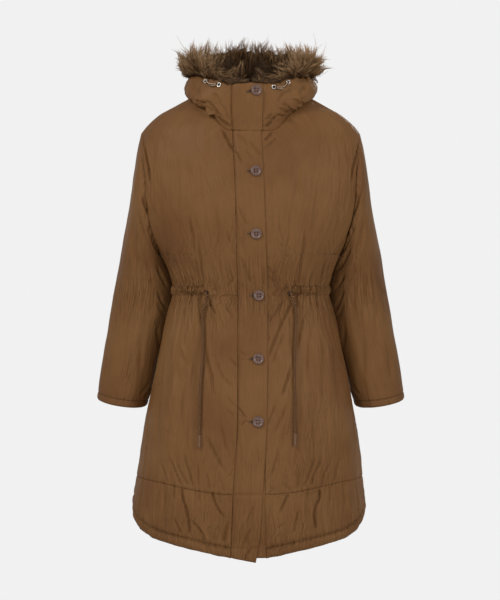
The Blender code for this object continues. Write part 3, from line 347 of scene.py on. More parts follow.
def stacked(x, y, z):
    return np.stack(np.broadcast_arrays(x, y, z), axis=-1).astype(float)


def outward(angle):
    radians = np.radians(angle)
    return stacked(np.sin(radians), -np.cos(radians), np.zeros(np.shape(angle)))


def bell(distance, width):
    """1 where the distance is 0, and about a third at one width."""
    return np.exp(-((distance / width) ** 2))


def full_grids(*arrays):
    """Rows and columns of values, each filled out to the whole grid."""
    return (np.ascontiguousarray(a) for a in np.broadcast_arrays(*arrays))


def distances(points):
    """How far along a line each of its points is."""
    return np.concatenate([[0], np.cumsum(np.linalg.norm(np.diff(points, axis=0), axis=1))])


def at_distances(at, gone, values):
    return np.stack([np.interp(at, gone, values[:, k]) for k in range(3)], axis=1)


def surface_normal(surface, u, v, step_u, step_v):
    across = surface(u + step_u, v) - surface(u - step_u, v)
    along = surface(u, v + step_v) - surface(u, v - step_v)
    return unit(np.cross(across, along))


def catmull_rom(a, b, c, d, t):
    """The curve from b to c, with a and d the points beyond them."""
    return (
        b * 2 + (c - a) * t + (a * 2 - b * 5 + c * 4 - d) * t**2 + (b * 3 - a - c * 3 + d) * t**3
    ) / 2


def along_loop(loop, share, spans):
    """Places at shares along stacked points, with one more point beyond each end."""
    along = np.clip(share, 0, 1) * spans
    index = np.minimum(along.astype(int), spans - 1)
    grid = np.indices(np.shape(share))
    return catmull_rom(*(loop[(index + k, *grid)] for k in range(4)), (along - index)[..., None])


def smooth_line(points, count):
    """Points evenly spread on a Catmull-Rom curve through a few points."""
    points = np.array(points, float)
    padded = np.vstack([2 * points[0] - points[1], points, 2 * points[-1] - points[-2]])
    at = np.linspace(0, len(points) - 1, count)
    i = np.minimum(at.astype(int), len(points) - 2)
    return catmull_rom(*(padded[i + k] for k in range(4)), (at - i)[:, None])


def ripple(u, v, seed, size_u, size_v, waves=14):
    """Smooth uneven relief about -1 to 1, with features of the given sizes."""
    random = np.random.RandomState(seed)
    total = np.zeros(np.broadcast(u, v).shape)
    for _ in range(waves):
        turn = random.uniform(0, 2 * math.pi)
        scale = random.uniform(0.6, 1.5)
        phase = random.uniform(0, 2 * math.pi)
        along_u = math.cos(turn) * scale / size_u
        along_v = math.sin(turn) * scale / size_v
        total += np.cos(2 * math.pi * (u * along_u + v * along_v) + phase)
    return total / math.sqrt(waves)


# ---------------------------------------------------------------- creases in the front view
Crease = namedtuple("Crease", "points half_width depth fade_in fade_out")
CREASE_GAIN = 1.8
CREASE_NARROWING = 0.78


def trough(points, half_width, depth, fade_in=0.35, fade_out=0.35):
    """A soft trough along points of the front view; half_width and depth in millimetres."""
    return Crease(points, half_width, -depth, fade_in, fade_out)


def ridge(points, half_width, depth, fade_in=0.35, fade_out=0.35):
    return Crease(points, half_width, depth, fade_in, fade_out)


def crease_relief(across, down, creases):
    """Sum of the creases at places of the front view, in millimetres."""
    shape = across.shape
    flat_across = across.ravel()
    flat_down = down.ravel()
    total = np.zeros(flat_across.shape)
    for crease in creases:
        line = smooth_line(crease.points, 4 * len(crease.points))
        width = CREASE_NARROWING * crease.half_width / PICTURE_UNIT
        reach = 3.0 * width
        near = (
            (flat_across > line[:, 0].min() - reach)
            & (flat_across < line[:, 0].max() + reach)
            & (flat_down > line[:, 1].min() - reach)
            & (flat_down < line[:, 1].max() + reach)
        )
        if not near.any():
            continue
        places = np.stack([flat_across[near], flat_down[near]], axis=1)
        best = np.full(len(places), 1e9)
        share = np.zeros(len(places))
        spans = len(line) - 1
        for k in range(spans):
            start, end = line[k], line[k + 1]
            along = end - start
            t = np.clip(((places - start) @ along) / max(along @ along, 1e-9), 0, 1)
            distance = np.linalg.norm(places - start - t[:, None] * along, axis=1)
            closer = distance < best
            best = np.where(closer, distance, best)
            share = np.where(closer, (k + t) / spans, share)
        q = (best / width) ** 2
        form = (1.0 - 0.55 * q) * np.exp(-q / 1.35)
        fade = np.ones(len(places))
        if crease.fade_in > 0:
            fade *= smooth_step(share / crease.fade_in)
        if crease.fade_out > 0:
            fade *= smooth_step((1 - share) / crease.fade_out)
        total[near] += crease.depth * form * fade
    return CREASE_GAIN * total.reshape(shape)


NECK_CREASES = [
    trough([(213, 117), (221, 125.5), (230, 132)], 3.2, 2.2, 0.3, 0.1),
    trough([(219, 124), (225, 135.5), (230.5, 146), (234.5, 151.5)], 3.2, 3.4, 0.3, 0.15),
    trough([(226, 150), (230.3, 159.7), (233.5, 168)], 4.0, 1.5),
    trough([(283.5, 123.5), (273.4, 131.3), (264.6, 141)], 3.2, 3.2, 0.25, 0.1),
    trough([(280, 136.5), (270.3, 144), (264.2, 149.5)], 3.2, 2.2, 0.3, 0.1),
    trough([(285, 143), (275, 149), (265, 157)], 4.5, 1.2),
]
CHEST_CREASES = [
    trough([(142.4, 136.6), (145, 149.2), (148.7, 171.3), (150.3, 190)], 3.4, 4.5),
    trough([(359.7, 135.5), (358.7, 146), (355, 161.8), (352.4, 173.4), (351.6, 189)], 3.4, 4.5),
    trough([(186, 208), (189.2, 225), (192.4, 240.8), (194, 256)], 4.6, 2.4),
    trough([(195.5, 236), (198.7, 251.3), (200.8, 265), (203.2, 286)], 4.6, 2.4, 0.35, 0.1),
    trough([(193, 256), (197.3, 272.4), (198.7, 288)], 3.8, 2.4, 0.4, 0.0),
    trough([(174, 256), (178.7, 272.4), (181.8, 287)], 3.6, 2.6, 0.4, 0.0),
    trough([(165, 247), (167.5, 259.7), (172.4, 284)], 3.6, 2.2, 0.4, 0.0),
    trough([(222.5, 221), (228.2, 238.7), (233.4, 251.3), (237.5, 259)], 5.0, 1.3),
    trough([(224, 265), (230, 275), (237, 281.5)], 4.4, 1.2),
    trough([(212, 196), (217, 230), (219, 266)], 9.0, 1.2),
    trough([(159, 196), (163, 228), (169, 258)], 7.0, 1.4),
    trough([(175, 176), (177, 210), (179, 244)], 9.0, 1.1),
    trough([(205, 150), (208, 180), (210, 205)], 10.0, 0.9),
    trough([(306, 228), (305, 244), (301.8, 259.7), (299.8, 286)], 4.8, 2.6, 0.35, 0.05),
    trough([(328.4, 246), (325, 261.8), (322.9, 272.4), (321.3, 287)], 4.2, 2.9, 0.4, 0.0),
    trough([(333.4, 254), (329.2, 270), (326.8, 286)], 3.6, 2.2, 0.4, 0.0),
    trough([(267, 265.5), (271.3, 272.4), (282, 282.5)], 4.2, 1.6, 0.1, 0.35),
    trough([(268, 276), (274, 281), (281, 288)], 3.6, 1.1, 0.1, 0.35),
    trough([(270.5, 200), (272, 232), (274, 262)], 8.0, 1.1),
    trough([(288, 196), (291, 228), (291, 262)], 9.0, 1.1),
    trough([(341, 200), (338, 226), (333, 252)], 7.0, 1.3),
    trough([(318, 184), (317, 212), (314, 240)], 9.0, 1.1),
    trough([(300, 150), (298, 180), (297, 206)], 10.0, 0.9),
]
WAIST_CREASES = [
    trough([(203.2, 287.5), (201, 282), (199, 276)], 2.6, 2.0, 0.0, 0.5),
    trough([(208.4, 287.5), (211, 282.5), (214, 278)], 2.6, 1.7, 0.0, 0.5),
    trough([(210.5, 291.5), (215, 290), (221, 289.5)], 2.4, 1.5, 0.0, 0.5),
    trough([(210, 295.5), (214.5, 298), (220, 301)], 2.4, 1.4, 0.0, 0.5),
    trough([(207.7, 300), (211.7, 308), (216.5, 316)], 3.0, 2.8, 0.1, 0.4),
    trough([(222.5, 305.5), (226, 309), (230.5, 314)], 3.0, 1.5),
    trough([(288, 290), (285.5, 285.5), (282, 281)], 2.6, 1.7, 0.0, 0.5),
    trough([(292.5, 289.5), (295, 284.5), (296.5, 279)], 2.6, 2.0, 0.0, 0.5),
    trough([(286, 291), (282, 290.6), (276.5, 290.6)], 2.2, 1.5, 0.0, 0.5),
    trough([(286, 294), (281.5, 293.8), (276, 293.8)], 2.2, 1.3, 0.0, 0.5),
    trough([(287, 299), (283, 303), (279, 307)], 2.6, 1.5, 0.0, 0.5),
]
SKIRT_CREASES = [
    trough([(197.4, 295.5), (199.5, 308.6), (202.4, 328)], 3.2, 3.2, 0.0, 0.3),
    trough([(200.6, 295.5), (202, 303), (203, 312)], 2.8, 2.0, 0.0, 0.4),
    trough([(178, 296), (177, 310.6), (175, 333)], 4.2, 2.2, 0.0, 0.5),
    trough([(184.3, 296), (184, 312), (183, 330)], 3.8, 1.8, 0.0, 0.5),
    trough([(190.5, 296), (191, 311), (191, 336)], 3.8, 2.0, 0.0, 0.5),
    trough(
        [(204.6, 335), (205.6, 355.5), (208.7, 369.8), (211.7, 378), (212.8, 390.2), (216, 402)],
        5.2, 2.8,
    ),
    trough([(213, 357), (220.9, 375.9), (232, 387.5)], 6.0, 1.7, 0.3, 0.1),
    trough([(228, 357.5), (232, 361.5), (236.6, 366.2)], 2.8, 2.4, 0.4, 0.1),
    trough([(224, 392), (231, 403), (237, 409)], 3.8, 1.6),
    trough([(225.5, 409), (229, 412.5), (234, 415.5)], 3.2, 2.0),
    ridge([(180.6, 341), (185.2, 353.5), (189, 367)], 6.0, 1.6),
    trough([(172, 326), (169, 368), (168, 412)], 9.5, 1.8),
    trough([(183, 372), (181, 400), (180, 436)], 9.5, 1.8),
    trough([(193.5, 345), (192, 386), (193, 430)], 8.5, 1.6),
    trough([(159, 384), (157.5, 420), (157, 458)], 8.0, 1.6),
    trough([(205.4, 435), (210.7, 447.9), (219.6, 463.9), (227.5, 475.5)], 6.5, 2.2),
    trough([(219, 418), (222.5, 440), (231, 464)], 8.0, 1.8),
    trough(
        [(292, 302.5), (285.8, 317.8), (280.7, 328), (274.6, 343.3), (270.5, 354.5), (268.2, 366)],
        4.6, 3.0, 0.1, 0.3,
    ),
    trough([(284.5, 301), (275.6, 314.7), (268.5, 324)], 4.6, 2.0, 0.1, 0.1),
    trough([(289, 328), (281, 345), (275, 360), (269, 376)], 6.5, 1.7),
    trough([(292, 363), (288.9, 378), (284.8, 390), (282.6, 400)], 4.6, 3.2),
    trough([(279.6, 398), (272.6, 415.7), (268.4, 429)], 5.2, 2.0),
    trough([(291, 396), (283, 418), (272, 441)], 6.5, 1.6),
    trough([(307.4, 311), (303.2, 323.9), (299.2, 341.2), (297.2, 356)], 4.6, 2.8),
    trough([(298.6, 295.5), (298, 302), (297.4, 312)], 3.2, 2.8, 0.0, 0.4),
    trough([(304.5, 296), (304, 304), (302.5, 314)], 3.2, 2.0, 0.0, 0.5),
    trough([(317, 296), (318, 306), (320, 318)], 3.8, 2.2, 0.0, 0.5),
    trough([(323.5, 296), (325.5, 308), (329, 322)], 3.8, 2.2, 0.0, 0.5),
    trough([(314, 318), (311.5, 350), (310, 384)], 9.5, 1.6),
    trough([(322, 328), (323.5, 370), (325, 412)], 9.5, 1.8),
    trough([(332.5, 344), (336, 380), (339.5, 418)], 8.5, 1.7),
    trough([(303, 362), (302, 400), (303, 442)], 8.5, 1.6),
    trough([(313.5, 402), (314.5, 430), (315, 458)], 9.5, 1.4),
    trough([(281.6, 442), (278.9, 455), (274.5, 470.2), (270.6, 482)], 6.5, 2.2),
    trough([(296.8, 446), (296, 458), (295, 470)], 5.5, 1.3),
]
BAND_CREASES = [
    trough([(161.4, 463), (164.3, 474.6), (166.6, 481)], 3.6, 1.8, 0.4, 0.0),
    trough([(167.6, 455), (173.2, 467.5), (178.8, 481.5)], 3.8, 2.0, 0.4, 0.0),
    trough([(174.6, 459), (180.4, 472.9), (186.8, 484)], 3.6, 1.9, 0.4, 0.0),
    trough([(182, 450), (186.6, 465.7), (191.7, 484.5)], 3.6, 2.0, 0.4, 0.0),
    trough([(197.8, 459), (197.6, 472), (197.8, 486)], 3.4, 1.8, 0.4, 0.0),
    trough([(205, 470), (207, 478), (209.2, 487)], 3.4, 1.5, 0.4, 0.0),
    trough([(212.3, 488.5), (215, 485), (219, 481.5)], 2.8, 1.6, 0.1, 0.4),
    trough([(218.5, 476), (221, 483), (223.5, 491)], 3.2, 1.3, 0.4, 0.0),
    trough([(181.3, 487), (182.1, 497), (185.7, 508.6), (188.4, 521), (189.4, 536)], 3.8, 3.8, 0.1, 0.1),
    trough([(211.4, 491.5), (215.2, 504), (220.5, 513), (226, 520.5)], 3.8, 2.8, 0.1, 0.35),
    trough([(189.6, 519.5), (196.4, 526.4), (201.8, 533.6), (203.8, 540)], 3.8, 2.6, 0.3, 0.0),
    trough([(173, 516), (176.8, 524.6), (180.8, 532.5)], 3.2, 2.2, 0.4, 0.0),
    trough([(230, 520), (226.4, 530), (224, 541)], 5.0, 2.8, 0.35, 0.0),
    trough([(219, 524), (216.5, 531), (215, 539)], 6.0, 1.8, 0.4, 0.0),
    trough([(146.5, 490), (146.4, 505), (147, 521)], 4.5, 1.6),
    trough([(163, 484), (163.5, 498), (164, 512)], 6.0, 1.3, 0.0, 0.5),
    trough([(173.5, 486), (174, 496), (174, 506)], 3.4, 1.4, 0.0, 0.6),
    trough([(198, 490), (199, 500), (199.5, 510)], 3.4, 1.4, 0.0, 0.6),
    trough([(205.5, 491), (203.5, 496), (203, 504)], 3.0, 1.3, 0.0, 0.6),
    trough([(311, 484.5), (318, 468), (323.8, 455)], 3.8, 2.0, 0.0, 0.4),
    trough([(304.8, 485.5), (311.5, 469), (316.6, 454)], 3.6, 2.0, 0.0, 0.4),
    trough([(322.6, 484.5), (325.4, 472.9), (332.7, 462)], 3.6, 1.9, 0.0, 0.4),
    trough([(335, 481.5), (337.9, 468.4), (341.6, 455)], 3.6, 1.8, 0.0, 0.4),
    trough([(291, 489.5), (286, 486.5), (280, 483)], 2.8, 1.8, 0.0, 0.5),
    trough([(276.5, 491.5), (273, 488.5), (269, 486.5)], 2.6, 1.6, 0.0, 0.5),
    trough([(298.5, 487), (299.5, 478), (301, 468)], 3.2, 1.3, 0.0, 0.5),
    trough([(320.2, 488), (320, 497.9), (316.4, 505.9), (314.6, 516.6), (316.6, 530)], 3.8, 3.8, 0.1, 0.1),
    trough([(289, 494), (284.3, 504), (278.6, 516.5)], 3.8, 2.6, 0.1, 0.35),
    trough([(300.6, 506), (296.8, 519.3), (294.8, 531)], 4.0, 2.2, 0.35, 0.0),
    trough([(305, 520), (303.5, 527), (303, 534)], 3.2, 1.4, 0.4, 0.0),
    trough([(272, 505), (270, 515), (268.5, 524)], 3.6, 1.5),
    trough([(331, 488), (331, 498), (330, 508)], 4.0, 1.4, 0.0, 0.6),
    trough([(309, 489), (308.5, 497), (309, 506)], 3.4, 1.4, 0.0, 0.6),
    trough([(344, 486), (345, 500), (345, 514)], 5.0, 1.4, 0.0, 0.5),
    trough([(277, 530), (281, 526), (287, 524)], 3.0, 1.5),
]
PLACKET_CREASES = [
    trough([(234.8, 151.5), (239, 157), (245, 168)], 3.4, 2.2, 0.05, 0.4),
    trough([(237.6, 134), (245, 141), (252, 149.5)], 3.6, 1.7, 0.1, 0.35),
    trough([(245, 136.6), (252.4, 145), (258.7, 152.4), (262.6, 158)], 3.4, 2.0),
    trough([(244.5, 147.5), (250.3, 155.5), (254, 162.5)], 3.4, 1.6),
    trough([(238, 207), (243, 219), (249, 228.5)], 3.8, 1.4, 0.1, 0.35),
    trough([(239.4, 255), (244, 267), (248.2, 277.6), (254.5, 289)], 4.2, 1.6, 0.2, 0.3),
    trough([(241, 238), (243, 248), (246.5, 258)], 4.0, 1.1),
    trough([(239.6, 351), (243.5, 354), (247.6, 357)], 2.6, 1.8, 0.1, 0.3),
    trough([(240, 361.5), (244, 359.5), (247.5, 358.4)], 2.6, 1.4),
    trough([(238.2, 408.4), (242, 413), (247, 419.2)], 2.8, 2.8, 0.05, 0.3),
    trough([(239.2, 413.8), (243, 417.5), (246.4, 420.6)], 2.6, 2.0, 0.1, 0.3),
    trough([(240, 426.8), (244, 422.6), (247.6, 420.6)], 2.6, 2.4, 0.2, 0.1),
    trough([(243, 380), (245, 395), (246, 408)], 5.0, 1.1),
    trough([(254.8, 503), (250.4, 516), (245, 531)], 3.8, 2.2),
    trough([(253.8, 525), (247.3, 537), (244.4, 547)], 3.4, 2.4),
    trough([(250, 549.5), (246.6, 555), (245.2, 561)], 2.8, 2.4, 0.1, 0.1),
    trough([(238.5, 438), (240.5, 452), (240, 470)], 5.0, 1.1),
    trough([(258, 440), (257.5, 460), (256.5, 482)], 5.5, 1.0),
]
SLEEVE_RIGHT_CREASES = [
    trough([(140.4, 156), (145, 170), (148.9, 185)], 3.2, 2.6),
    trough([(139.4, 191.5), (146, 208), (153.2, 219.5)], 4.2, 3.2, 0.35, 0.1),
    trough([(146.6, 182.5), (147.6, 192), (150.8, 203), (153.2, 217)], 3.4, 2.6, 0.3, 0.1),
    trough([(136, 198), (140, 224), (147, 250)], 6.5, 1.9),
    trough([(131, 213), (134, 249), (137.5, 283)], 8.5, 1.6),
    trough([(139.4, 236), (145.2, 258), (152.4, 275.5)], 6.0, 1.9),
    trough([(142.6, 271), (145.2, 290), (147.5, 308)], 7.0, 1.5),
    trough([(155.6, 262), (160.5, 276), (167, 289)], 4.0, 2.4),
    trough([(157.4, 289.5), (161.3, 301.5), (166.4, 310.8)], 3.6, 3.0, 0.3, 0.1),
    trough([(155.8, 302), (161.3, 311.3), (165.4, 317)], 3.4, 2.6, 0.3, 0.1),
    trough([(156.6, 324), (158, 338), (158.6, 350)], 4.5, 1.6),
    trough([(133.7, 288), (136, 310), (136.5, 334)], 9.0, 1.6),
    trough([(121.5, 236), (119, 262), (117, 288)], 9.0, 1.2),
    trough([(126, 320), (124, 350), (122, 382)], 9.5, 1.4),
    trough([(142, 330), (141, 352), (139, 376)], 9.0, 1.5),
    trough([(108, 350), (107, 370), (106, 388)], 8.0, 1.2),
    trough([(152.6, 386), (149, 391.5), (143.5, 398.5)], 3.2, 2.4, 0.1, 0.3),
    trough([(150, 380), (146, 388), (139, 396.5)], 4.0, 1.4),
]
SLEEVE_LEFT_CREASES = [
    trough([(359.6, 157), (356.4, 171), (353.4, 184.5)], 3.2, 2.4),
    trough([(364.2, 187), (359.7, 198.7), (355.5, 209.2), (350, 218.6)], 4.2, 3.2, 0.35, 0.1),
    trough([(355.7, 187.5), (352.4, 197.6), (350.3, 207), (348.9, 217)], 3.4, 2.6, 0.3, 0.1),
    trough([(367, 204), (362, 234), (355, 262)], 7.0, 1.8),
    trough([(371.5, 244), (368, 284), (365, 322)], 9.5, 1.6),
    trough([(350.6, 247.5), (344.4, 261), (338.4, 271)], 4.4, 2.6, 0.3, 0.15),
    trough([(357, 272), (353, 298), (351, 324)], 8.0, 1.6),
    trough([(345.4, 273), (341.6, 281), (336, 290)], 4.0, 2.2),
    trough([(344.2, 288.5), (339.9, 301.4), (335.4, 310.6)], 3.6, 3.0, 0.3, 0.1),
    trough([(344.7, 302.5), (340.8, 312.5), (337, 318)], 3.4, 2.4, 0.3, 0.1),
    trough([(345, 322), (344, 338), (343.4, 350)], 4.5, 1.6),
    trough([(378, 232), (381, 262), (384, 292)], 9.0, 1.2),
    trough([(362, 332), (362.5, 356), (364, 380)], 9.5, 1.5),
    trough([(389, 334), (390.5, 360), (392, 386)], 9.0, 1.3),
    trough([(376, 300), (377, 326), (379, 352)], 9.0, 1.3),
    trough([(348.6, 387), (352, 392.5), (357.5, 399)], 3.2, 2.4, 0.1, 0.3),
    trough([(351, 381), (355, 389), (362, 397)], 4.0, 1.4),
]
HOOD_CREASES = [
    trough([(189.4, 99.6), (193.4, 103.6), (198.6, 105.6)], 2.6, 2.2, 0.1, 0.4),
    trough([(196.6, 97.6), (201.5, 101.6), (207.6, 103.8)], 3.0, 2.4),
    trough([(197, 106.5), (201, 108.3), (205.5, 108.6)], 2.6, 2.2, 0.1, 0.4),
    trough([(204.4, 99.8), (211, 104.6), (215.5, 110.5), (218.4, 115.5)], 3.4, 2.6, 0.35, 0.1),
    ridge([(193.6, 96), (199, 99.5), (205.5, 99.4)], 3.4, 1.6),
    ridge([(205.6, 107.6), (210.6, 111.8), (216, 113.4)], 3.2, 2.2),
    trough([(212.5, 92), (217, 99), (219.5, 107)], 6.0, 1.2),
    trough([(222, 104), (225.5, 113), (230.5, 122)], 4.5, 1.6),
    trough([(217.5, 117), (223.5, 121.6), (230.6, 127.5)], 3.0, 2.2, 0.1, 0.2),
    trough([(190, 84), (196, 90), (201, 96)], 6.5, 1.2),
    trough([(311.4, 100.4), (306, 103.8), (300.6, 104.4)], 2.6, 2.2, 0.1, 0.4),
    trough([(293.4, 99), (297.8, 101.4), (300, 106)], 2.8, 2.8),
    trough([(303.6, 97), (301.6, 100.8), (303.4, 104.6)], 2.6, 1.8),
    trough([(282, 102.8), (288.6, 107.6), (293.4, 112.4)], 3.0, 3.6, 0.3, 0.05),
    trough([(279, 107.5), (285, 111), (291, 112.6)], 2.8, 2.4, 0.4, 0.1),
    ridge([(294.6, 108.6), (299.6, 109.8), (304.8, 107)], 3.0, 2.0),
    ridge([(276, 111), (281, 113.6), (287, 113.6)], 3.0, 1.6),
    trough([(276.6, 115.6), (271, 121.5), (266, 127.4)], 3.2, 3.8, 0.15, 0.1),
    trough([(272.4, 113), (268.6, 117.6), (265.6, 121.6)], 2.8, 1.8),
    trough([(285.6, 92), (281.4, 98), (279.4, 104)], 6.0, 1.2),
    trough([(307, 84), (303, 90), (299.4, 96)], 6.5, 1.2),
    trough([(296.6, 73.6), (298.4, 77), (303, 77.6)], 2.2, 1.8),
    trough([(233, 92), (232.6, 108), (233.4, 124)], 4.0, 1.0),
    trough([(264.6, 90), (265, 104), (264, 118)], 4.0, 1.0),
]
BACK_CREASES = [
    trough([(150, 150), (160, 190), (178, 230)], 7.0, 2.4),
    trough([(352, 152), (340, 196), (322, 236)], 7.0, 2.4),
    trough([(182, 196), (188, 236), (193, 284)], 5.0, 2.6, 0.35, 0.0),
    trough([(224, 180), (226, 226), (229, 282)], 6.0, 2.0, 0.35, 0.0),
    trough([(262, 190), (262, 236), (260, 282)], 6.5, 2.2, 0.35, 0.0),
    trough([(300, 204), (298, 246), (292, 284)], 5.0, 2.4, 0.35, 0.0),
    trough([(328, 226), (322, 258), (316, 286)], 4.4, 2.4, 0.35, 0.0),
    trough([(166, 232), (170, 262), (176, 286)], 4.4, 2.4, 0.35, 0.0),
    trough([(184, 300), (178, 360), (172, 430)], 8.0, 3.0, 0.0, 0.35),
    trough([(212, 300), (208, 350), (203, 404)], 6.0, 2.4, 0.0, 0.35),
    trough([(238, 300), (236, 372), (232, 448)], 8.0, 2.8, 0.0, 0.35),
    trough([(264, 300), (268, 352), (271, 410)], 6.0, 2.4, 0.0, 0.35),
    trough([(288, 300), (294, 366), (302, 440)], 8.0, 2.8, 0.0, 0.35),
    trough([(314, 300), (322, 350), (332, 404)], 6.5, 2.6, 0.0, 0.35),
    trough([(160, 400), (154, 432), (150, 466)], 8.0, 2.0),
    trough([(342, 392), (346, 430), (350, 462)], 8.0, 2.0),
    trough([(196, 420), (192, 446), (186, 474)], 6.0, 1.8),
    trough([(250, 430), (252, 460), (250, 488)], 7.0, 1.8),
    trough([(310, 436), (314, 460), (318, 482)], 6.0, 1.8),
    trough([(170, 490), (174, 508), (172, 528)], 4.0, 2.6, 0.1, 0.2),
    trough([(206, 494), (203, 514), (206, 536)], 4.0, 2.8, 0.1, 0.2),
    trough([(243, 500), (247, 520), (245, 545)], 4.0, 2.6, 0.1, 0.2),
    trough([(285, 498), (281, 516), (286, 540)], 4.0, 2.8, 0.1, 0.2),
    trough([(326, 490), (330, 508), (326, 530)], 4.0, 2.6, 0.1, 0.2),
]


# ---------------------------------------------------------------- the trunk
HALF_WIDTH = Curve(BODY_RINGS, "height", "half_width")
FRONT_DEPTH = Curve(BODY_RINGS, "height", "front_depth")
BACK_DEPTH = Curve(BODY_RINGS, "height", "back_depth")
CENTRE_X = Curve(BODY_RINGS, "height", "centre_x")
NECK_HEIGHT = Curve(NECK_CURVE, "angle", "height")
SIDE_ANGLE = Curve(SIDE_SEAM, "height", "angle")
PLACKET_X = {
    column: Curve(PLACKET, "height", column) for column in ("x_seam", "x_free", "x_underlap")
}


def fold_rise(x, z, front):
    total = np.zeros(np.broadcast(x, z).shape)
    for fold in FOLDS:
        if fold.front != front:
            continue
        along_x = fold.x_end - fold.x_start
        along_z = fold.z_end - fold.z_start
        length = math.hypot(along_x, along_z)
        share = ((x - fold.x_start) * along_x + (z - fold.z_start) * along_z) / length**2
        across = ((x - fold.x_start) * along_z - (z - fold.z_start) * along_x) / length
        fade_ends = smooth_step(share / 0.25) * smooth_step((1 - share) / 0.25)
        total += fold.rise * fade_ends * bell(across, fold.half_width)
    return total


def plain_body(angle, height):
    radians = np.radians(angle)
    power = 2.0 / SQUARENESS
    x = CENTRE_X(height) + HALF_WIDTH(height) * signed_power(np.sin(radians), power)
    forward = signed_power(np.cos(radians), power)
    depth = np.where(forward > 0, FRONT_DEPTH(height), BACK_DEPTH(height))
    return stacked(x, -depth * forward, height)


def body_normal(angle, height):
    return surface_normal(plain_body, angle, height, 0.5, 1.0)


def body_folds(angle, place):
    """The solids' own soft folds at a place on the trunk."""
    front = np.abs(tidy_angle(angle)) < 90.0
    edge_fade = np.minimum(1.0, np.abs(np.cos(np.radians(angle))) * 2.5)
    ahead = fold_rise(place[..., 0], place[..., 2], True)
    behind = fold_rise(place[..., 0], place[..., 2], False)
    return edge_fade * np.where(front, ahead, behind)


def angle_at_x(x, height):
    share = (x - CENTRE_X(height)) / HALF_WIDTH(height)
    return np.degrees(np.arcsin(signed_power(share, SQUARENESS / 2.0)))


def neck_height(angle):
    return NECK_HEIGHT(np.abs(tidy_angle(angle)))


def band_seam_height(angle):
    sideways = np.abs(np.sin(np.radians(angle)))
    return BAND_SEAM_CENTRE + BAND_SEAM_SIDE_RISE * smooth_step((sideways - 0.16) / 0.84)


def hem_height(angle):
    off_centre = np.abs(tidy_angle(angle))
    off_centre = np.minimum(off_centre, 180.0 - off_centre)
    sideways = np.sin(np.radians(off_centre))
    slope = np.hypot(sideways, HEM_ROUNDING) - HEM_ROUNDING
    corner = np.maximum(0.0, (off_centre - HEM_CORNER_START) / (90.0 - HEM_CORNER_START))
    return HEM_CENTRE + HEM_SLOPE * slope + HEM_CORNER_RISE * corner**2


# ---------------------------------------------------------------- gathers
Gather = namedtuple("Gather", "angle width depth up down slant")


def make_gathers(seed, first, last, spacing, depth, up, down):
    """Uneven gathers from one angle to another, each with its own reach."""
    random = np.random.RandomState(seed)
    gathers = []
    angle = first
    while angle < last:
        step = spacing * random.uniform(0.7, 1.45)
        gathers.append(
            Gather(
                angle + random.uniform(-0.2, 0.2) * spacing,
                spacing * random.uniform(0.26, 0.42),
                depth * random.uniform(0.5, 1.25),
                up * random.uniform(0.45, 1.9),
                down * random.uniform(0.45, 1.9),
                random.uniform(-0.012, 0.012),
            )
        )
        angle += step
    return gathers


def gather_relief(angle, offset, gathers):
    """Troughs across a seam; offset is the height above it in millimetres."""
    total = np.zeros(np.broadcast(angle, offset).shape)
    for gather in gathers:
        reach = np.where(offset > 0, gather.up, gather.down)
        away = (tidy_angle(angle - gather.angle) - gather.slant * offset) / (
            gather.width * (1 + np.abs(offset) / 90.0)
        )
        fade = np.exp(-((np.abs(offset) / reach) ** 1.5))
        total -= gather.depth * fade * np.exp(-(away**2))
    return total


WAIST_GATHERS = (
    make_gathers(11, 34.0, 96.0, 3.2, 3.1, 30.0, 34.0)
    + make_gathers(12, -96.0, -36.0, 3.2, 3.1, 30.0, 34.0)
    + make_gathers(13, 98.0, 262.0, 3.3, 2.7, 26.0, 34.0)
    + make_gathers(14, 32.0, 96.0, 2.4, 3.0, 24.0, 20.0)
    + make_gathers(15, -96.0, -34.0, 2.4, 3.0, 24.0, 20.0)
)
BAND_GATHERS = (
    make_gathers(21, 14.0, 66.0, 2.2, 2.0, 14.0, 10.0)
    + make_gathers(22, -66.0, -14.0, 2.2, 2.0, 14.0, 10.0)
    + make_gathers(23, 68.0, 292.0, 2.7, 1.3, 17.0, 12.0)
)
HEM_GATHERS = (
    make_gathers(31, 10.0, 62.0, 2.1, 3.0, 11.0, 8.0)
    + make_gathers(32, -62.0, -10.0, 2.1, 3.0, 11.0, 8.0)
    + make_gathers(33, 68.0, 292.0, 2.2, 0.8, 8.0, 4.0)
)
HEM_DEPTH = 20.0              # from the hem's edge up to its stitch line
HEM_WANDER = 0.4
NECK_FADE = 6.0


def body_relief(angle, height, place):
    """Everything finer than the solids' own folds, on the trunk."""
    across, down = seen_at(place)
    front = np.abs(tidy_angle(angle)) < 90.0
    side_fade = smooth_step(np.abs(np.cos(np.radians(angle))) * 3.0)
    ahead = crease_relief(across, down, NECK_CREASES + CHEST_CREASES + WAIST_CREASES)
    ahead += crease_relief(across, down, SKIRT_CREASES + BAND_CREASES)
    behind = crease_relief(across, down, BACK_CREASES)
    arc = np.radians(angle) * TRUNK_RADIUS
    relief = np.where(front, ahead, behind) * side_fade
    relief += gather_relief(angle, height - WAIST_HEIGHT, WAIST_GATHERS)
    relief += gather_relief(angle, height - band_seam_height(angle), BAND_GATHERS)
    relief += gather_relief(angle, height - hem_height(angle) - HEM_DEPTH, HEM_GATHERS)
    relief += 0.55 * ripple(arc, height, 3, 26.0, 150.0)
    relief += 0.40 * ripple(arc, height, 4, 12.0, 60.0)
    relief += 0.9 * ripple(arc, height, 5, 90.0, 170.0)
    below_neck = (neck_height(angle) - height) / NECK_FADE
    beside = smooth_step((np.abs(tidy_angle(angle)) - 40.0) / 20.0)
    return relief * smooth_step(below_neck + beside)


def body_surface(angle, height):
    place = plain_body(angle, height)
    normal = body_normal(angle, height)
    rise = body_folds(angle, place) + body_relief(angle, height, place)
    return place + normal * rise[..., None], normal


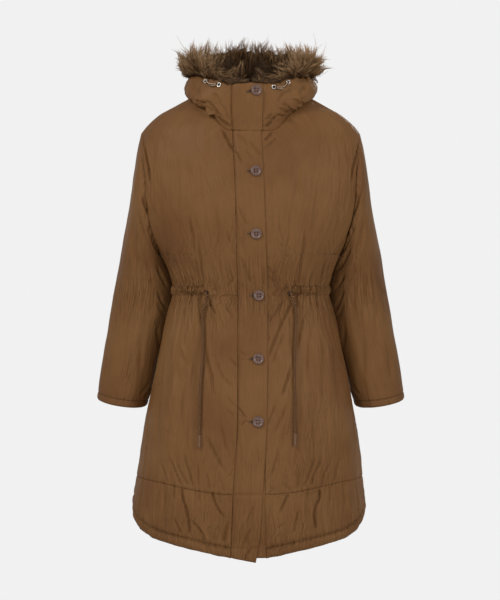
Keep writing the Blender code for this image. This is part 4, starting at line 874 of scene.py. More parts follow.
# ---------------------------------------------------------------- shells from grids
COARSE = 3                    # the inside has one row and column for this many outside


def grid_lengths(points):
    """Distances along the rows and down the columns, from the first point of each."""
    across = np.linalg.norm(np.diff(points, axis=1), axis=2)
    down = np.linalg.norm(np.diff(points, axis=0), axis=2)
    rows, columns = points.shape[:2]
    along = np.concatenate([np.zeros((rows, 1)), np.cumsum(across, axis=1)], axis=1)
    deep = np.concatenate([np.zeros((1, columns)), np.cumsum(down, axis=0)], axis=0)
    return along, deep


SEAM_WIDTH = 2.2


def seam_dip(points, normal, **depths):
    """Edges that are sewn turn in towards the seam, each by its own depth."""
    along, deep = grid_lengths(points)
    away = {
        "start": along,
        "end": along[:, -1:] - along,
        "top": deep,
        "bottom": deep[-1:] - deep,
    }
    dip = np.zeros(points.shape[:2])
    for edge, depth in depths.items():
        dip = np.maximum(dip, depth * bell(away[edge], SEAM_WIDTH))
    return points - normal * dip[..., None]


def seam_puckers(points, normal, edge, spacing, depth, reach, phase):
    """Short uneven creases that run in from a sewn side edge, slanting a little."""
    along, run = grid_lengths(points)
    away = along if edge == "start" else along[:, -1:] - along
    place = run / spacing + 0.35 * away / spacing
    wave = np.cos(2 * math.pi * place + 1.9 * np.sin(place * 1.7 + phase))
    strength = 0.6 + 0.4 * np.sin(place * 0.83 + 2 * phase)
    dip = depth * strength * np.maximum(wave, 0.0) ** 2 * bell(away, reach)
    return points - normal * dip[..., None]


def ladder(fine, coarse):
    """Faces between a fine chain of points and a coarse one, COARSE spans to each."""
    faces = []
    for i in range(len(coarse) - 1):
        first = i * COARSE
        for k in range(COARSE):
            faces.append((fine[first + k], fine[first + k + 1], coarse[i]))
        faces.append((fine[first + COARSE], coarse[i + 1], coarse[i]))
    return faces


def grid_faces(rows, columns, base, flip):
    r, c = np.meshgrid(np.arange(rows - 1), np.arange(columns - 1), indexing="ij")
    a = base + r * columns + c
    quads = np.stack([a, a + columns, a + columns + 1, a + 1], axis=-1).reshape(-1, 4)
    return quads[:, ::-1] if flip else quads


def shell_mesh(outer, inner):
    """A closed shell: a fine outer grid, a coarse inner one and ladders round the border."""
    rows, columns = outer.shape[:2]
    inner = inner[::COARSE, ::COARSE]
    coarse_rows, coarse_columns = inner.shape[:2]
    base = rows * columns
    points = np.concatenate([outer.reshape(-1, 3), inner.reshape(-1, 3)])
    faces = [tuple(face) for face in grid_faces(rows, columns, 0, False)]
    faces += [tuple(face) for face in grid_faces(coarse_rows, coarse_columns, base, True)]
    fine_index = np.arange(base).reshape(rows, columns)
    coarse_index = base + np.arange(coarse_rows * coarse_columns).reshape(
        coarse_rows, coarse_columns
    )
    faces += ladder(list(fine_index[:, 0])[::-1], list(coarse_index[:, 0])[::-1])
    faces += ladder(list(fine_index[0]), list(coarse_index[0]))
    faces += ladder(list(fine_index[:, -1]), list(coarse_index[:, -1]))
    faces += ladder(list(fine_index[-1])[::-1], list(coarse_index[-1])[::-1])
    return points, faces


def tube_mesh(outer, inner):
    """A closed sleeve wall from two grids of loops, the last column joined to the first."""
    rows, columns = outer.shape[:2]
    inner = inner[::COARSE, ::COARSE]
    coarse_rows, coarse_columns = inner.shape[:2]
    base = rows * columns
    points = np.concatenate([outer.reshape(-1, 3), inner.reshape(-1, 3)])

    def wrapped(grid_rows, grid_columns, start, flip):
        faces = []
        for r in range(grid_rows - 1):
            for c in range(grid_columns):
                d = (c + 1) % grid_columns
                face = (
                    start + r * grid_columns + c,
                    start + (r + 1) * grid_columns + c,
                    start + (r + 1) * grid_columns + d,
                    start + r * grid_columns + d,
                )
                faces.append(face[::-1] if flip else face)
        return faces

    faces = wrapped(rows, columns, 0, False)
    faces += wrapped(coarse_rows, coarse_columns, base, True)
    top = list(range(columns)) + [0]
    top_inner = list(range(base, base + coarse_columns)) + [base]
    low = (rows - 1) * columns
    low_inner = base + (coarse_rows - 1) * coarse_columns
    bottom = list(range(low, low + columns)) + [low]
    bottom_inner = list(range(low_inner, low_inner + coarse_columns)) + [low_inner]
    faces += ladder(top, top_inner)
    faces += ladder(bottom[::-1], bottom_inner[::-1])
    return points, faces


def add_mesh(name, points, faces, material, uv=None):
    mesh = bpy.data.meshes.new(name)
    mesh.from_pydata((np.asarray(points) * MM).tolist(), [], [tuple(map(int, f)) for f in faces])
    if uv is not None:
        layer = mesh.uv_layers.new(name="cloth")
        index = np.empty(len(mesh.loops), dtype=np.int32)
        mesh.loops.foreach_get("vertex_index", index)
        layer.data.foreach_set("uv", np.asarray(uv, dtype=np.float32)[index].ravel())
    mesh.validate()
    mesh.shade_smooth()
    piece = bpy.data.objects.new(name, mesh)
    piece.data.materials.append(material)
    bpy.context.scene.collection.objects.link(piece)
    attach(piece, ROOT)
    return piece


def shell_uv(across, down):
    """Cloth coordinates in metres, for the fine outside and then the coarse inside."""
    uv = np.stack([across, -down], axis=-1) * MM
    coarse = uv[::COARSE, ::COARSE]
    return np.concatenate([uv.reshape(-1, 2), coarse.reshape(-1, 2)])


def cloth_uv(outer):
    """Cloth coordinates along the width, from its middle, and down the length."""
    along, deep = grid_lengths(outer)
    return shell_uv(along - along[:, along.shape[1] // 2][:, None], deep)


def closed(grid):
    """A grid of loops with its first column again at the end."""
    return np.concatenate([grid, grid[:, :1]], axis=1)


INSIDE_WALL = 4.6             # hems and seams are turned, so the shell is thicker than its cloth


def cloth_piece(name, nodes, outer, normal, material, wall=INSIDE_WALL):
    """One cloth piece that replaces its solids."""
    inner = outer - normal * wall
    points, faces = shell_mesh(outer, inner)
    piece = add_mesh(name, points, faces, material, cloth_uv(outer))
    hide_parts(*nodes)
    return piece


# ---------------------------------------------------------------- panels of the trunk
def whole(count):
    """A number of spans that the coarse inside divides."""
    return max(COARSE, int(round(count / COARSE)) * COARSE)


def side_edge(kind, value, spread):
    if kind == "shoulder":
        return 90.0, blend(neck_height(90.0), ARMHOLE_TOP, value)
    if kind == "armhole":
        turn = math.pi * value
        middle = (ARMHOLE_TOP + ARMHOLE_BOTTOM) / 2
        height = middle + (ARMHOLE_TOP - ARMHOLE_BOTTOM) / 2 * math.cos(turn)
        side = blend(90.0, float(SIDE_ANGLE(ARMHOLE_BOTTOM)), (1 - math.cos(turn)) / 2)
        return side + spread * max(math.sin(turn), 0.0) ** 0.85, height
    if kind == "lower":
        return float(SIDE_ANGLE(value)), value
    angle = float(SIDE_ANGLE(BAND_SEAM_SIDE))
    return angle, float(band_seam_height(angle))


def front_row(kind, value, inner_column, side, columns):
    edge_angle, edge_height = side_edge(kind, value, -ARMHOLE_FRONT_SPREAD)
    middle = edge_height
    if kind == "shoulder":
        middle = blend(NECK_FRONT_HEIGHT, MIDDLE_AT_SHOULDER, value)
    elif kind == "armhole":
        middle = blend(MIDDLE_AT_SHOULDER, MIDDLE_AT_UNDERARM, value)
    elif kind == "band_seam":
        middle = BAND_SEAM_CENTRE
    start = side * float(angle_at_x(PLACKET_X[inner_column](middle), middle))
    share = np.linspace(0, 1, columns + 1)
    angle = blend(start, edge_angle, share)
    return side * angle, row_heights(kind, value, angle, share, middle, edge_height)


def row_heights(kind, value, angle, out, middle, edge_height):
    if kind == "shoulder":
        flat = blend(MIDDLE_AT_SHOULDER, ARMHOLE_TOP, ease_out(out))
        return blend(neck_height(angle), flat, value)
    if kind == "armhole":
        return blend(middle, edge_height, ease_out(out))
    if kind == "band_seam":
        return band_seam_height(angle)
    return np.full(out.shape, edge_height)


def back_row(kind, value, columns):
    edge_angle, edge_height = side_edge(kind, value, ARMHOLE_BACK_SPREAD)
    middle = edge_height
    if kind == "armhole":
        middle = blend(MIDDLE_AT_SHOULDER, MIDDLE_AT_UNDERARM, value)
    share = np.linspace(0, 1, columns + 1)
    angle = blend(edge_angle, 360.0 - edge_angle, share)
    out = np.abs(2 * share - 1)
    return angle, row_heights(kind, value, angle, out, middle, edge_height)


SHOULDER_RUN = 110.0          # from the neck to the shoulder's tip, along the seam
ARMHOLE_RUN = 250.0
UNDERARM_RUN = 34.0


def dense_rows(make_row, spacing):
    """Angles and heights of every row, from the neck seam down to the band seam."""
    rows = []
    for value in np.linspace(0, 1, int(SHOULDER_RUN / spacing), endpoint=False):
        rows.append(make_row("shoulder", value))
    for value in np.linspace(0, 1, int(ARMHOLE_RUN / spacing), endpoint=False):
        rows.append(make_row("armhole", value))
    under = make_row("armhole", 1.0), make_row("lower", BELOW_ARM)
    for share in np.linspace(0, 1, int(UNDERARM_RUN / spacing), endpoint=False):
        rows.append(tuple(blend(a, b, share) for a, b in zip(*under)))
    steps = int((BELOW_ARM - ABOVE_BAND) / spacing)
    for height in np.linspace(BELOW_ARM, ABOVE_BAND, steps, endpoint=False):
        rows.append(make_row("lower", height))
    low = make_row("lower", ABOVE_BAND), make_row("band_seam", 0)
    left = whole(len(rows) + int((ABOVE_BAND - BAND_SEAM_CENTRE) / spacing)) - len(rows)
    for share in np.linspace(0, 1, left + 1):
        rows.append(tuple(blend(a, b, share) for a, b in zip(*low)))
    return np.array([row[0] for row in rows]), np.array([row[1] for row in rows])


def soften_row(points, middle, reach=3.5, times=24):
    """Rounds off the kink along one row; the sewn edges at both ends stay in place."""
    points = points.copy()
    rows, columns = points.shape[:2]
    near = bell(np.arange(1, rows - 1) - middle, reach)[:, None, None]
    column = np.arange(columns)
    inside = np.clip(np.minimum(column, column[::-1]) / 3.0, 0, 1)[None, :, None]
    for _ in range(times):
        average = (points[:-2] + points[2:]) / 2
        points[1:-1] += 0.5 * near * inside * (average - points[1:-1])
    return points


GRID_SPACING = 4.4
BACK_GRID_SPACING = 5.8
PANEL_COLUMNS = 150


def make_fronts(shell):
    columns = whole(PANEL_COLUMNS)
    for name, column, side in (("front_right", "x_seam", -1), ("front_left", "x_underlap", 1)):
        angle, height = dense_rows(
            lambda kind, value: front_row(kind, value, column, side, columns), GRID_SPACING
        )
        outer, normal = body_surface(angle, height)
        outer = soften_row(outer, int(SHOULDER_RUN / GRID_SPACING))
        outer = seam_dip(outer, normal, bottom=0.7, end=1.3)
        outer = seam_puckers(outer, normal, "start", 9.0, 0.9, 9.0, 1.0)
        outer = seam_puckers(outer, normal, "start", 21.0, 1.2, 22.0, 2.6)
        outer = seam_puckers(outer, normal, "end", 11.0, 0.8, 12.0, 3.0)
        if side < 0:
            outer, normal = outer[:, ::-1], normal[:, ::-1]
        piece = cloth_piece(name + "_cloth", [name], outer, normal, shell)


def make_back(shell):
    columns = whole(PANEL_COLUMNS)
    angle, height = dense_rows(lambda kind, value: back_row(kind, value, columns), BACK_GRID_SPACING)
    outer, normal = body_surface(angle, height)
    outer = soften_row(outer, int(SHOULDER_RUN / BACK_GRID_SPACING))
    outer = seam_dip(outer, normal, top=0.9, bottom=1.3, start=1.3, end=1.3)
    piece = cloth_piece("back_cloth", ["back"], outer, normal, shell)


def hem_roll(outer, normal, **depths):
    """The hem's edge turns under, and its stitch line pulls in."""
    along, deep = grid_lengths(outer)
    above = deep[-1:] - deep
    roll = -2.2 * bell(above, 2.6)
    stitch = -3.8 * bell(above - HEM_DEPTH, 2.1)
    swell = 1.3 * bell(above - HEM_DEPTH / 2, 6.0)
    swell += 0.9 * bell(above - 1.5 * HEM_DEPTH, 6.0)
    outer = outer + normal * (roll + stitch + swell)[..., None]
    wander = np.sin(along / 9.7 + 2 * np.sin(along / 37.0)) + 0.5 * np.sin(along / 5.3)
    outer[..., 2] += HEM_WANDER * wander * bell(above, 9.0)
    return seam_dip(outer, normal, **depths)


BANDS_ROWS = 54


def make_bands(shell):
    rows = whole(BANDS_ROWS)
    share = np.linspace(0, 1, rows + 1)
    for name, column, side in (
        ("hem_band_right", "x_seam", -1),
        ("hem_band_left", "x_underlap", 1),
    ):
        columns = whole(PANEL_COLUMNS)
        angles = []
        for s in share:
            middle = blend(BAND_SEAM_CENTRE, float(hem_height(FOOT_ANGLE)), s)
            start = side * float(angle_at_x(PLACKET_X[column](middle), middle))
            angles.append(side * np.linspace(start, float(SIDE_ANGLE(BAND_SEAM_SIDE)), columns + 1))
        angle = np.array(angles)
        height = blend(band_seam_height(angle), hem_height(angle), share[:, None])
        outer, normal = body_surface(angle, height)
        outer = hem_roll(outer, normal, top=0.7, end=1.3)
        outer = seam_puckers(outer, normal, "start", 8.0, 1.0, 10.0, 1.0)
        outer = seam_puckers(outer, normal, "end", 10.0, 0.6, 10.0, 4.0)
        sew_grid(outer, normal, "bottom", HEM_DEPTH)
        if side < 0:
            outer, normal = outer[:, ::-1], normal[:, ::-1]
        piece = cloth_piece(name + "_cloth", [name], outer, normal, shell)
    columns = whole(PANEL_COLUMNS)
    edge = float(SIDE_ANGLE(BAND_SEAM_SIDE))
    angle = np.tile(np.linspace(edge, 360 - edge, columns + 1), (rows + 1, 1))
    height = blend(band_seam_height(angle), hem_height(angle), share[:, None])
    outer, normal = body_surface(angle, height)
    outer = hem_roll(outer, normal, top=0.8, start=1.3, end=1.3)
    sew_grid(outer, normal, "bottom", HEM_DEPTH)
    piece = cloth_piece("hem_band_back_cloth", ["hem_band_back"], outer, normal, shell)


# ---------------------------------------------------------------- drawcord channel
CHANNEL_RISE = 5.0
CHANNEL_END_FADE = 3.4        # degrees
CHANNEL_TO_EYELET = 1.6       # degrees
PUCKER_SLANT = 1.5            # degrees from the channel's top to its bottom


def channel_profile(share):
    """A soft tube between two stitch lines; share runs from its top to its bottom."""
    return CHANNEL_RISE * np.sqrt(np.maximum(np.sin(np.pi * share), 0.0)) * 0.9 + 0.3


CHANNEL_PIECE_ROWS = 15


def channel_piece(name, nodes, angle_range, seed, shell):
    columns = whole((angle_range[1] - angle_range[0]) / 0.42)
    rows = whole(CHANNEL_PIECE_ROWS)
    share = np.linspace(0, 1, rows + 1)[:, None]
    angle = np.linspace(angle_range[0], angle_range[1], columns + 1)[None, :]
    angle = np.repeat(angle, rows + 1, axis=0)
    height = blend(WAIST_HEIGHT + CASING_DEPTH / 2, WAIST_HEIGHT - CASING_DEPTH / 2, share)
    height = np.repeat(height, columns + 1, axis=1)
    base, normal = body_surface(angle, height)
    gathers = make_gathers(seed, angle_range[0], angle_range[1], 2.4, 6.0, 12.0, 12.0)
    arc = np.radians(angle) * WAIST_RADIUS
    level = np.zeros(angle.shape)
    pull = gather_relief(angle + PUCKER_SLANT * (share - 0.5), level, gathers)
    pits = gather_relief(angle + PUCKER_SLANT * 0.3, level, gathers)
    low_line = bell(share - 0.82, 0.11)
    high_line = bell(share - 0.14, 0.1)
    puckers = 0.75 * pull * np.sin(np.pi * np.clip(share, 0.05, 0.95)) ** 0.5
    puckers += 0.9 * pits * low_line + 0.4 * pull * high_line
    rise = channel_profile(share) + puckers + 0.5 * ripple(arc, height, seed, 9.0, 9.0)
    ends = np.minimum(angle - angle_range[0], angle_range[1] - angle) / CHANNEL_END_FADE
    rise = rise * smooth_step(ends + 0.15)
    outer = base + normal * (OVERLAY_GAP + np.maximum(rise, -0.75))[..., None]
    wander = 1.5 * np.sin(arc / 3.1 + np.sin(arc / 7.7)) + 0.8 * np.sin(arc / 1.9 + seed)
    outer[..., 2] += wander * (1 - 2 * share) ** 2
    piece = cloth_piece(name, nodes, outer, normal, shell, wall=1.6)


def make_channels(shell):
    side = float(SIDE_ANGLE(WAIST_HEIGHT))
    right = float(angle_at_x(EYELET_X_RIGHT, WAIST_HEIGHT))
    left = float(angle_at_x(EYELET_X_LEFT, WAIST_HEIGHT))
    channel_piece("channel_left", ["waist_casing_left"], (left + CHANNEL_TO_EYELET, side), 41, shell)
    channel_piece(
        "channel_right", ["waist_casing_right"], (-side, right - CHANNEL_TO_EYELET), 42, shell
    )
    channel_piece("channel_back", ["waist_casing_back"], (side, 360.0 - side), 43, shell)


# ---------------------------------------------------------------- placket and underlap
def placket_lift(share):
    return blend(0.0, OVERLAY_GAP + OVERLAY_WALL, smooth_step(share / 0.16))


def placket_base(share, height):
    x = blend(PLACKET_X["x_seam"](height), PLACKET_X["x_free"](height), share)
    angle = angle_at_x(x, height)
    place = plain_body(angle, height)
    normal = body_normal(angle, height)
    rise = fold_rise(place[..., 0], height, True) + placket_lift(share)
    return place + normal * rise[..., None]


def placket_normal(share, height):
    return surface_normal(placket_base, share, height, 0.01, 1.0)


STITCH_INSET = 3.0
PLACKET_WALL = 2.6


def placket_edges(outer, normal):
    """A turned free edge, a stitched edge that pulls in, and a swell between them."""
    along, _ = grid_lengths(outer)
    width = along[:, -1:]
    free = width - along
    relief = -1.1 * bell(free, 1.6)
    relief += -1.2 * bell(along, 2.0)
    relief += -0.5 * bell(along - STITCH_INSET, 1.3)
    outer = outer + normal * relief[..., None]
    outer = seam_puckers(outer, normal, "start", 8.0, 0.6, 6.0, 5.0)
    outer = seam_puckers(outer, normal, "end", 10.0, 0.4, 5.0, 6.0)
    sew_grid(outer, normal, "start", STITCH_INSET)
    return outer, np.maximum(PLACKET_WALL + np.minimum(relief, 0.0), 0.9)[..., None]


PLACKET_COLUMNS = 27
PLACKET_ROWS = 339


def make_placket(shell):
    columns = whole(PLACKET_COLUMNS)
    rows = whole(PLACKET_ROWS)
    share = np.linspace(0, 1, columns + 1)[None, :]
    start = NECK_FRONT_HEIGHT
    foot = float(hem_height(FOOT_ANGLE))
    level = np.linspace(start, foot, rows + 1)[:, None]
    near_foot = smooth_step((level - (foot + 40.0)) / -40.0)
    height = level - PLACKET_FOOT_DROP * share * near_foot
    share = np.repeat(share, rows + 1, axis=0)
    base = placket_base(share, height)
    normal = placket_normal(share, height)
    across, down = seen_at(base)
    arc = share * PLACKET_WIDTH
    relief = crease_relief(across, down, PLACKET_CREASES)
    relief += 0.35 * ripple(arc, height, 51, 20.0, 90.0) + 0.2 * ripple(arc, height, 52, 9.0, 40.0)
    for seam in (BAND_SEAM_CENTRE, foot + HEM_DEPTH):
        relief -= 2.2 * bell(height - seam, 2.1)
    relief -= 2.0 * bell(height - height[-1:], 2.4)
    relief -= 0.1 * bell(height - start, 1.8)
    outer, wall = placket_edges(base + normal * relief[..., None], normal)
    piece = cloth_piece("placket_cloth", ["placket"], outer, normal, shell, wall=wall)


UNDERLAP_COLUMNS = 18
UNDERLAP_ROWS = 180


def make_underlap(shell):
    columns = whole(UNDERLAP_COLUMNS)
    rows = whole(UNDERLAP_ROWS)
    level = np.linspace(NECK_FRONT_HEIGHT, float(hem_height(FOOT_ANGLE)), rows + 1)
    first = angle_at_x(PLACKET_X["x_seam"](level) + 14.0, level)
    last = angle_at_x(PLACKET_X["x_underlap"](level), level)
    share = np.linspace(0, 1, columns + 1)[None, :]
    angle = blend(first[:, None], last[:, None], share)
    height = np.repeat(level[:, None], columns + 1, axis=1)
    place = plain_body(angle, height)
    normal = body_normal(angle, height)
    outer = place + normal * fold_rise(place[..., 0], height, True)[..., None]
    outer = seam_dip(outer, normal, top=0.7, end=0.9)
    piece = cloth_piece("underlap_cloth", ["underlap"], outer, normal, shell, wall=2.4)


# ---------------------------------------------------------------- sleeves
SLEEVE = {
    column: Curve(SLEEVE_ROWS, "row", column) for column in SleeveRow._fields if column != "row"
}


CUFF_TILT = 8.0
CUFF_TILT_START = 8.0
CUFF_TILT_ROWS = 4.0


def sleeve_base(row, turn):
    radians = np.radians(turn)
    out = np.cos(radians)
    x = (SLEEVE["outer_x"](row) + SLEEVE["inner_x"](row)) / 2
    x = x + (SLEEVE["outer_x"](row) - SLEEVE["inner_x"](row)) / 2 * out
    x = x + SLEEVE["bow"](row) * np.sin(radians) ** 2
    z = (SLEEVE["outer_z"](row) + SLEEVE["inner_z"](row)) / 2
    z = z + (SLEEVE["outer_z"](row) - SLEEVE["inner_z"](row)) / 2 * out
    z = z + CUFF_TILT * smooth_step((row - CUFF_TILT_START) / CUFF_TILT_ROWS) * np.sin(radians)
    y = SLEEVE["centre_y"](row) + SLEEVE["half_depth"](row) * np.sin(radians)
    return stacked(x, y, z)


def armhole_edge(turn):
    turn = np.asarray(turn, float) % 360.0
    half = np.where(turn <= 180.0, turn, 360.0 - turn)
    spread = np.where(turn <= 180.0, ARMHOLE_BACK_SPREAD, -ARMHOLE_FRONT_SPREAD)
    radians = np.radians(half)
    middle = (ARMHOLE_TOP + ARMHOLE_BOTTOM) / 2
    height = middle + (ARMHOLE_TOP - ARMHOLE_BOTTOM) / 2 * np.cos(radians)
    side = blend(90.0, float(SIDE_ANGLE(ARMHOLE_BOTTOM)), (1 - np.cos(radians)) / 2)
    angle = side + spread * np.maximum(np.sin(radians), 0.0) ** 0.85
    place = plain_body(angle, height)
    normal = body_normal(angle, height)
    return place + normal * body_folds(angle, place)[..., None]


def sleeve_point(row, turn):
    follow = np.exp(-((np.maximum(row, 0.0) / 1.6) ** 1.3))[..., None]
    return sleeve_base(row, turn) + (armhole_edge(turn) - sleeve_base(row * 0, turn)) * follow


CUFF_HEM = 15.0
CUFF_ROWS = 24
CUFF_FINE_LENGTH = 26.0
SLEEVE_LENGTH = 600.0
ARMHOLE_PUCKERS = 2.4
INNER_SWELL = 8.5             # the sleeve's soft padding fills the space beside the waist


SLEEVES_COLUMNS = 159
SLEEVES_ROWS = 165


def make_sleeves(shell):
    columns = whole(SLEEVES_COLUMNS)
    rows = whole(SLEEVES_ROWS)
    above_cuff = SLEEVE_LAST * (1.0 - CUFF_FINE_LENGTH / SLEEVE_LENGTH)
    row = np.concatenate([
        np.linspace(0, above_cuff, rows - CUFF_ROWS, endpoint=False),
        np.linspace(above_cuff, SLEEVE_LAST, CUFF_ROWS + 1),
    ])[:, None]
    turn = (360.0 * np.arange(columns) / columns)[None, :]
    row, turn = full_grids(row, turn)
    base = sleeve_point(row, turn)
    step = 0.03
    along = sleeve_point(np.minimum(row + step, SLEEVE_LAST), turn) - sleeve_point(
        np.maximum(row - step, 0.0), turn
    )
    around = sleeve_point(row, turn + 1.0) - sleeve_point(row, turn - 1.0)
    normal = -unit(np.cross(around, along))
    inner_reach = smooth_step((row - 1.6) / 1.3) * smooth_step((10.2 - row) / 2.2)
    for name, side, creases, seed in (
        ("sleeve_left", 1, SLEEVE_LEFT_CREASES, 61),
        ("sleeve_right", -1, SLEEVE_RIGHT_CREASES, 62),
    ):
        mirror = np.array([side, 1, 1])
        place = base * mirror
        facing = normal * mirror
        across, down = seen_at(place)
        front = smooth_step(-facing[..., 1] * 2.5)
        behind = smooth_step(facing[..., 1] * 2.5)
        relief = crease_relief(across, down, creases) * front
        relief += crease_relief(across, down + 16.0, creases) * behind
        relief += INNER_SWELL * bell(turn - 178.0, 34.0) * inner_reach
        arc = turn / 360.0 * SLEEVE_GIRTH
        deep = row / SLEEVE_LAST * SLEEVE_LENGTH
        radians = np.radians(turn)
        level, leaning = np.cos(radians) * 60, deep + np.sin(radians) * 20
        relief += 0.6 * ripple(level, leaning, seed, 34.0, 150.0)
        relief += 0.25 * ripple(level, deep, seed + 5, 15.0, 60.0)
        top = grid_lengths(place)[1]
        above = top[-1:] - top
        stitch, hem_edge = bell(above - CUFF_HEM, 1.5), bell(above, 2.2)
        relief += -2.0 * stitch - 2.0 * hem_edge
        cuff = bell(above - CUFF_HEM, 7.0)
        relief += -0.9 * cuff * (0.5 + 0.5 * np.cos(radians * 44 + 2 * np.sin(radians * 5)))
        relief -= 1.6 * bell(top, 2.4)
        pulled = 0.5 + 0.5 * np.cos(radians * 33 + 2.4 * np.sin(radians * 5))
        relief -= ARMHOLE_PUCKERS * pulled**2 * bell(top - 6.0, 8.0)
        outer = place + facing * relief[..., None]
        sew_grid(closed(outer), closed(facing), "bottom", CUFF_HEM)
        if side < 0:
            outer, facing = outer[:, ::-1], facing[:, ::-1]
        inner = outer - facing * INSIDE_WALL
        points, faces = tube_mesh(outer, inner)
        piece = add_mesh(name + "_cloth", points, faces, shell, shell_uv(arc, deep))
        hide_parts(name)


# ---------------------------------------------------------------- hood
def hood_curves():
    curves = {}
    for name in HOOD_STATIONS:
        for way in ("out", "up"):
            curves[name, way] = Curve(HOOD_PROFILES, "angle", f"{name}_{way}")
    return curves


HOOD = hood_curves()


def hood_stations(angle):
    """The neck seam and the five stations above it, one beyond each end."""
    seam = plain_body(angle, neck_height(angle))
    away = np.abs(tidy_angle(angle))
    direction = outward(angle)
    stations = [seam + np.array([0, 0, SEWN_GAP])]
    for name in HOOD_STATIONS:
        place = seam + direction * HOOD[name, "out"](away)[..., None] + np.array([0, 0, HOOD_SEAM_GAP])
        place[..., 2] += HOOD[name, "up"](away)
        stations.append(place)
    stations.insert(0, stations[0] * 2 - stations[1])
    stations.append(stations[-1] * 2 - stations[-2])
    return np.array(stations)


def hood_smooth(angle, share):
    angle, share = np.broadcast_arrays(np.asarray(angle, float), np.asarray(share, float))
    return along_loop(hood_stations(angle), share, len(HOOD_STATIONS))


def hood_normal(angle, share):
    step = 0.01
    along = hood_smooth(angle, np.minimum(share + step, 1.0)) - hood_smooth(
        angle, np.maximum(share - step, 0.0)
    )
    across = hood_smooth(angle + 1.0, share) - hood_smooth(angle - 1.0, share)
    return unit(np.cross(across, along))


def hood_angle_at_x(x):
    return float(angle_at_x(x, float(neck_height(0.0))))


HOOD_CHANNEL = 0.78            # where the rim's drawcord channel is stitched
HOOD_CREASE_GAIN = 2.9
HOOD_DEEPEST = 3.2             # a trough any deeper would reach the lining
COLLAR_DEEPEST = 6.0           # below the lining


HOOD_ROWS = 72


def make_hood(shell):
    seam_x = float(PLACKET_X["x_seam"](PLACKET_TOP_HEIGHT))
    ranges = (
        ("hood_left", hood_angle_at_x(seam_x + HOOD_HIDDEN_WIDTH), 180.0, 71),
        ("hood_right", -180.0, hood_angle_at_x(seam_x), 72),
    )
    rows = whole(HOOD_ROWS)
    gathers = make_gathers(73, -180.0, 180.0, 5.2, 2.0, 1.0, 1.0)
    for name, first, last, seed in ranges:
        columns = whole((last - first) / 0.95)
        angle = np.linspace(first, last, columns + 1)[None, :]
        share = np.linspace(1, 0, rows + 1)[:, None]
        angle, share = full_grids(angle, share)
        base = hood_smooth(angle, share)
        normal = hood_normal(angle, share)
        across, down = seen_at(base)
        away = np.abs(tidy_angle(angle))
        relief = HOOD_CREASE_GAIN * crease_relief(across, down, HOOD_CREASES) * (away < 100.0)
        relief = relief * smooth_step(share / 0.07)
        bulge = smooth_step((away - 18.0) / 16.0)
        low = gather_relief(angle + 9.0 * (share - 0.2), np.zeros(angle.shape), gathers)
        relief += (low * 3.2 + 1.6) * bulge * bell(share - 0.19, 0.12)
        relief += 1.2 * bulge * ripple(angle * 2.2, share * 110, seed, 30.0, 40.0)
        relief += 0.5 * ripple(angle * 2.2, share * 110, seed + 4, 14.0, 18.0) * bulge
        relief -= 0.4 * bell(share - HOOD_CHANNEL, 0.014)
        relief -= 0.8 * bell(1 - share, 0.02)
        deepest = blend(COLLAR_DEEPEST, HOOD_DEEPEST, smooth_step((share - 0.26) / 0.14))
        relief = np.where(relief < 0, deepest * np.tanh(relief / deepest), relief)
        outer = base + normal * relief[..., None]
        outer = seam_dip(outer, normal, start=0.4, end=0.4)
        wall = WALL + np.minimum(relief, 0.0)[..., None]
        piece = cloth_piece(name + "_cloth", [name], outer, normal, shell, wall=np.maximum(wall, 0.7))


def placket_top_base(share, rise):
    seam = hood_angle_at_x(float(PLACKET_X["x_seam"](PLACKET_TOP_HEIGHT)))
    free = hood_angle_at_x(float(PLACKET_X["x_free"](PLACKET_TOP_HEIGHT)))
    angle = blend(seam, free, share)
    lift = placket_lift(share)[..., None]
    return hood_smooth(angle, rise) + hood_normal(angle, rise) * lift


def placket_top_normal(share, rise):
    return surface_normal(placket_top_base, share, rise, 0.01, 0.01)


PLACKET_TOP_COLUMNS = 27
PLACKET_TOP_ROWS = 42


def make_placket_top(shell):
    columns = whole(PLACKET_TOP_COLUMNS)
    rows = whole(PLACKET_TOP_ROWS)
    share = np.linspace(0, 1, columns + 1)[None, :]
    rise = np.linspace(PLACKET_TOP_RISE, 0.01, rows + 1)[:, None]
    share, rise = full_grids(share, rise)
    base = placket_top_base(share, rise)
    normal = placket_top_normal(share, rise)
    relief = 0.4 * ripple(share * PLACKET_WIDTH, rise * 100, 81, 18.0, 30.0)
    relief -= 1.6 * bell(PLACKET_TOP_RISE - rise, 0.02)
    outer, wall = placket_edges(base + normal * relief[..., None], normal)
    piece = cloth_piece("placket_top_cloth", ["placket_top"], outer, normal, shell, wall=wall)


# ---------------------------------------------------------------- fur
FurRow = namedtuple("FurRow", "angle out outside_drop rise inside inside_drop")
FUR_ROWS = [
    FurRow(0, 3, 0.5, 20, 34, 26),
    FurRow(20, 4, 0.5, 26, 36, 28),
    FurRow(45, 10, 1, 42, 42, 30),
    FurRow(70, 28, 9, 57, 46, 30),
    FurRow(90, 37, 13, 64, 46, 30),
    FurRow(135, 34, 14, 70, 46, 34),
    FurRow(180, 32, 14, 56, 46, 38),
]
FurPlace = namedtuple("FurPlace", "out inside rise outside_drop inside_drop shift")
FUR_LOOP = [
    FurPlace(0.55, 0, 0, 0.9, 0, 0.4),
    FurPlace(1, 0, 0.34, 0, 0, 1.1),
    FurPlace(0.74, 0, 0.76, 0, 0, 2.3),
    FurPlace(0.1, 0.12, 1, 0, 0, 3.9),
    FurPlace(0, 0.62, 0.72, 0, 0, 5.2),
    FurPlace(0, 1, 0.05, 0, 0, 6.1),
    FurPlace(0, 0.86, 0, 0, 1, 7.0),
]
FUR_CLEARANCE = 1.2
FUR_LONGEST_DROP = 14.0
FUR_INSIDE_SHARE = 0.8
FUR = {column: Curve(FUR_ROWS, "angle", column) for column in FurRow._fields if column != "angle"}
SKIN_PLACES = (0.0, 0.25, 0.4, 0.7, 1.0)


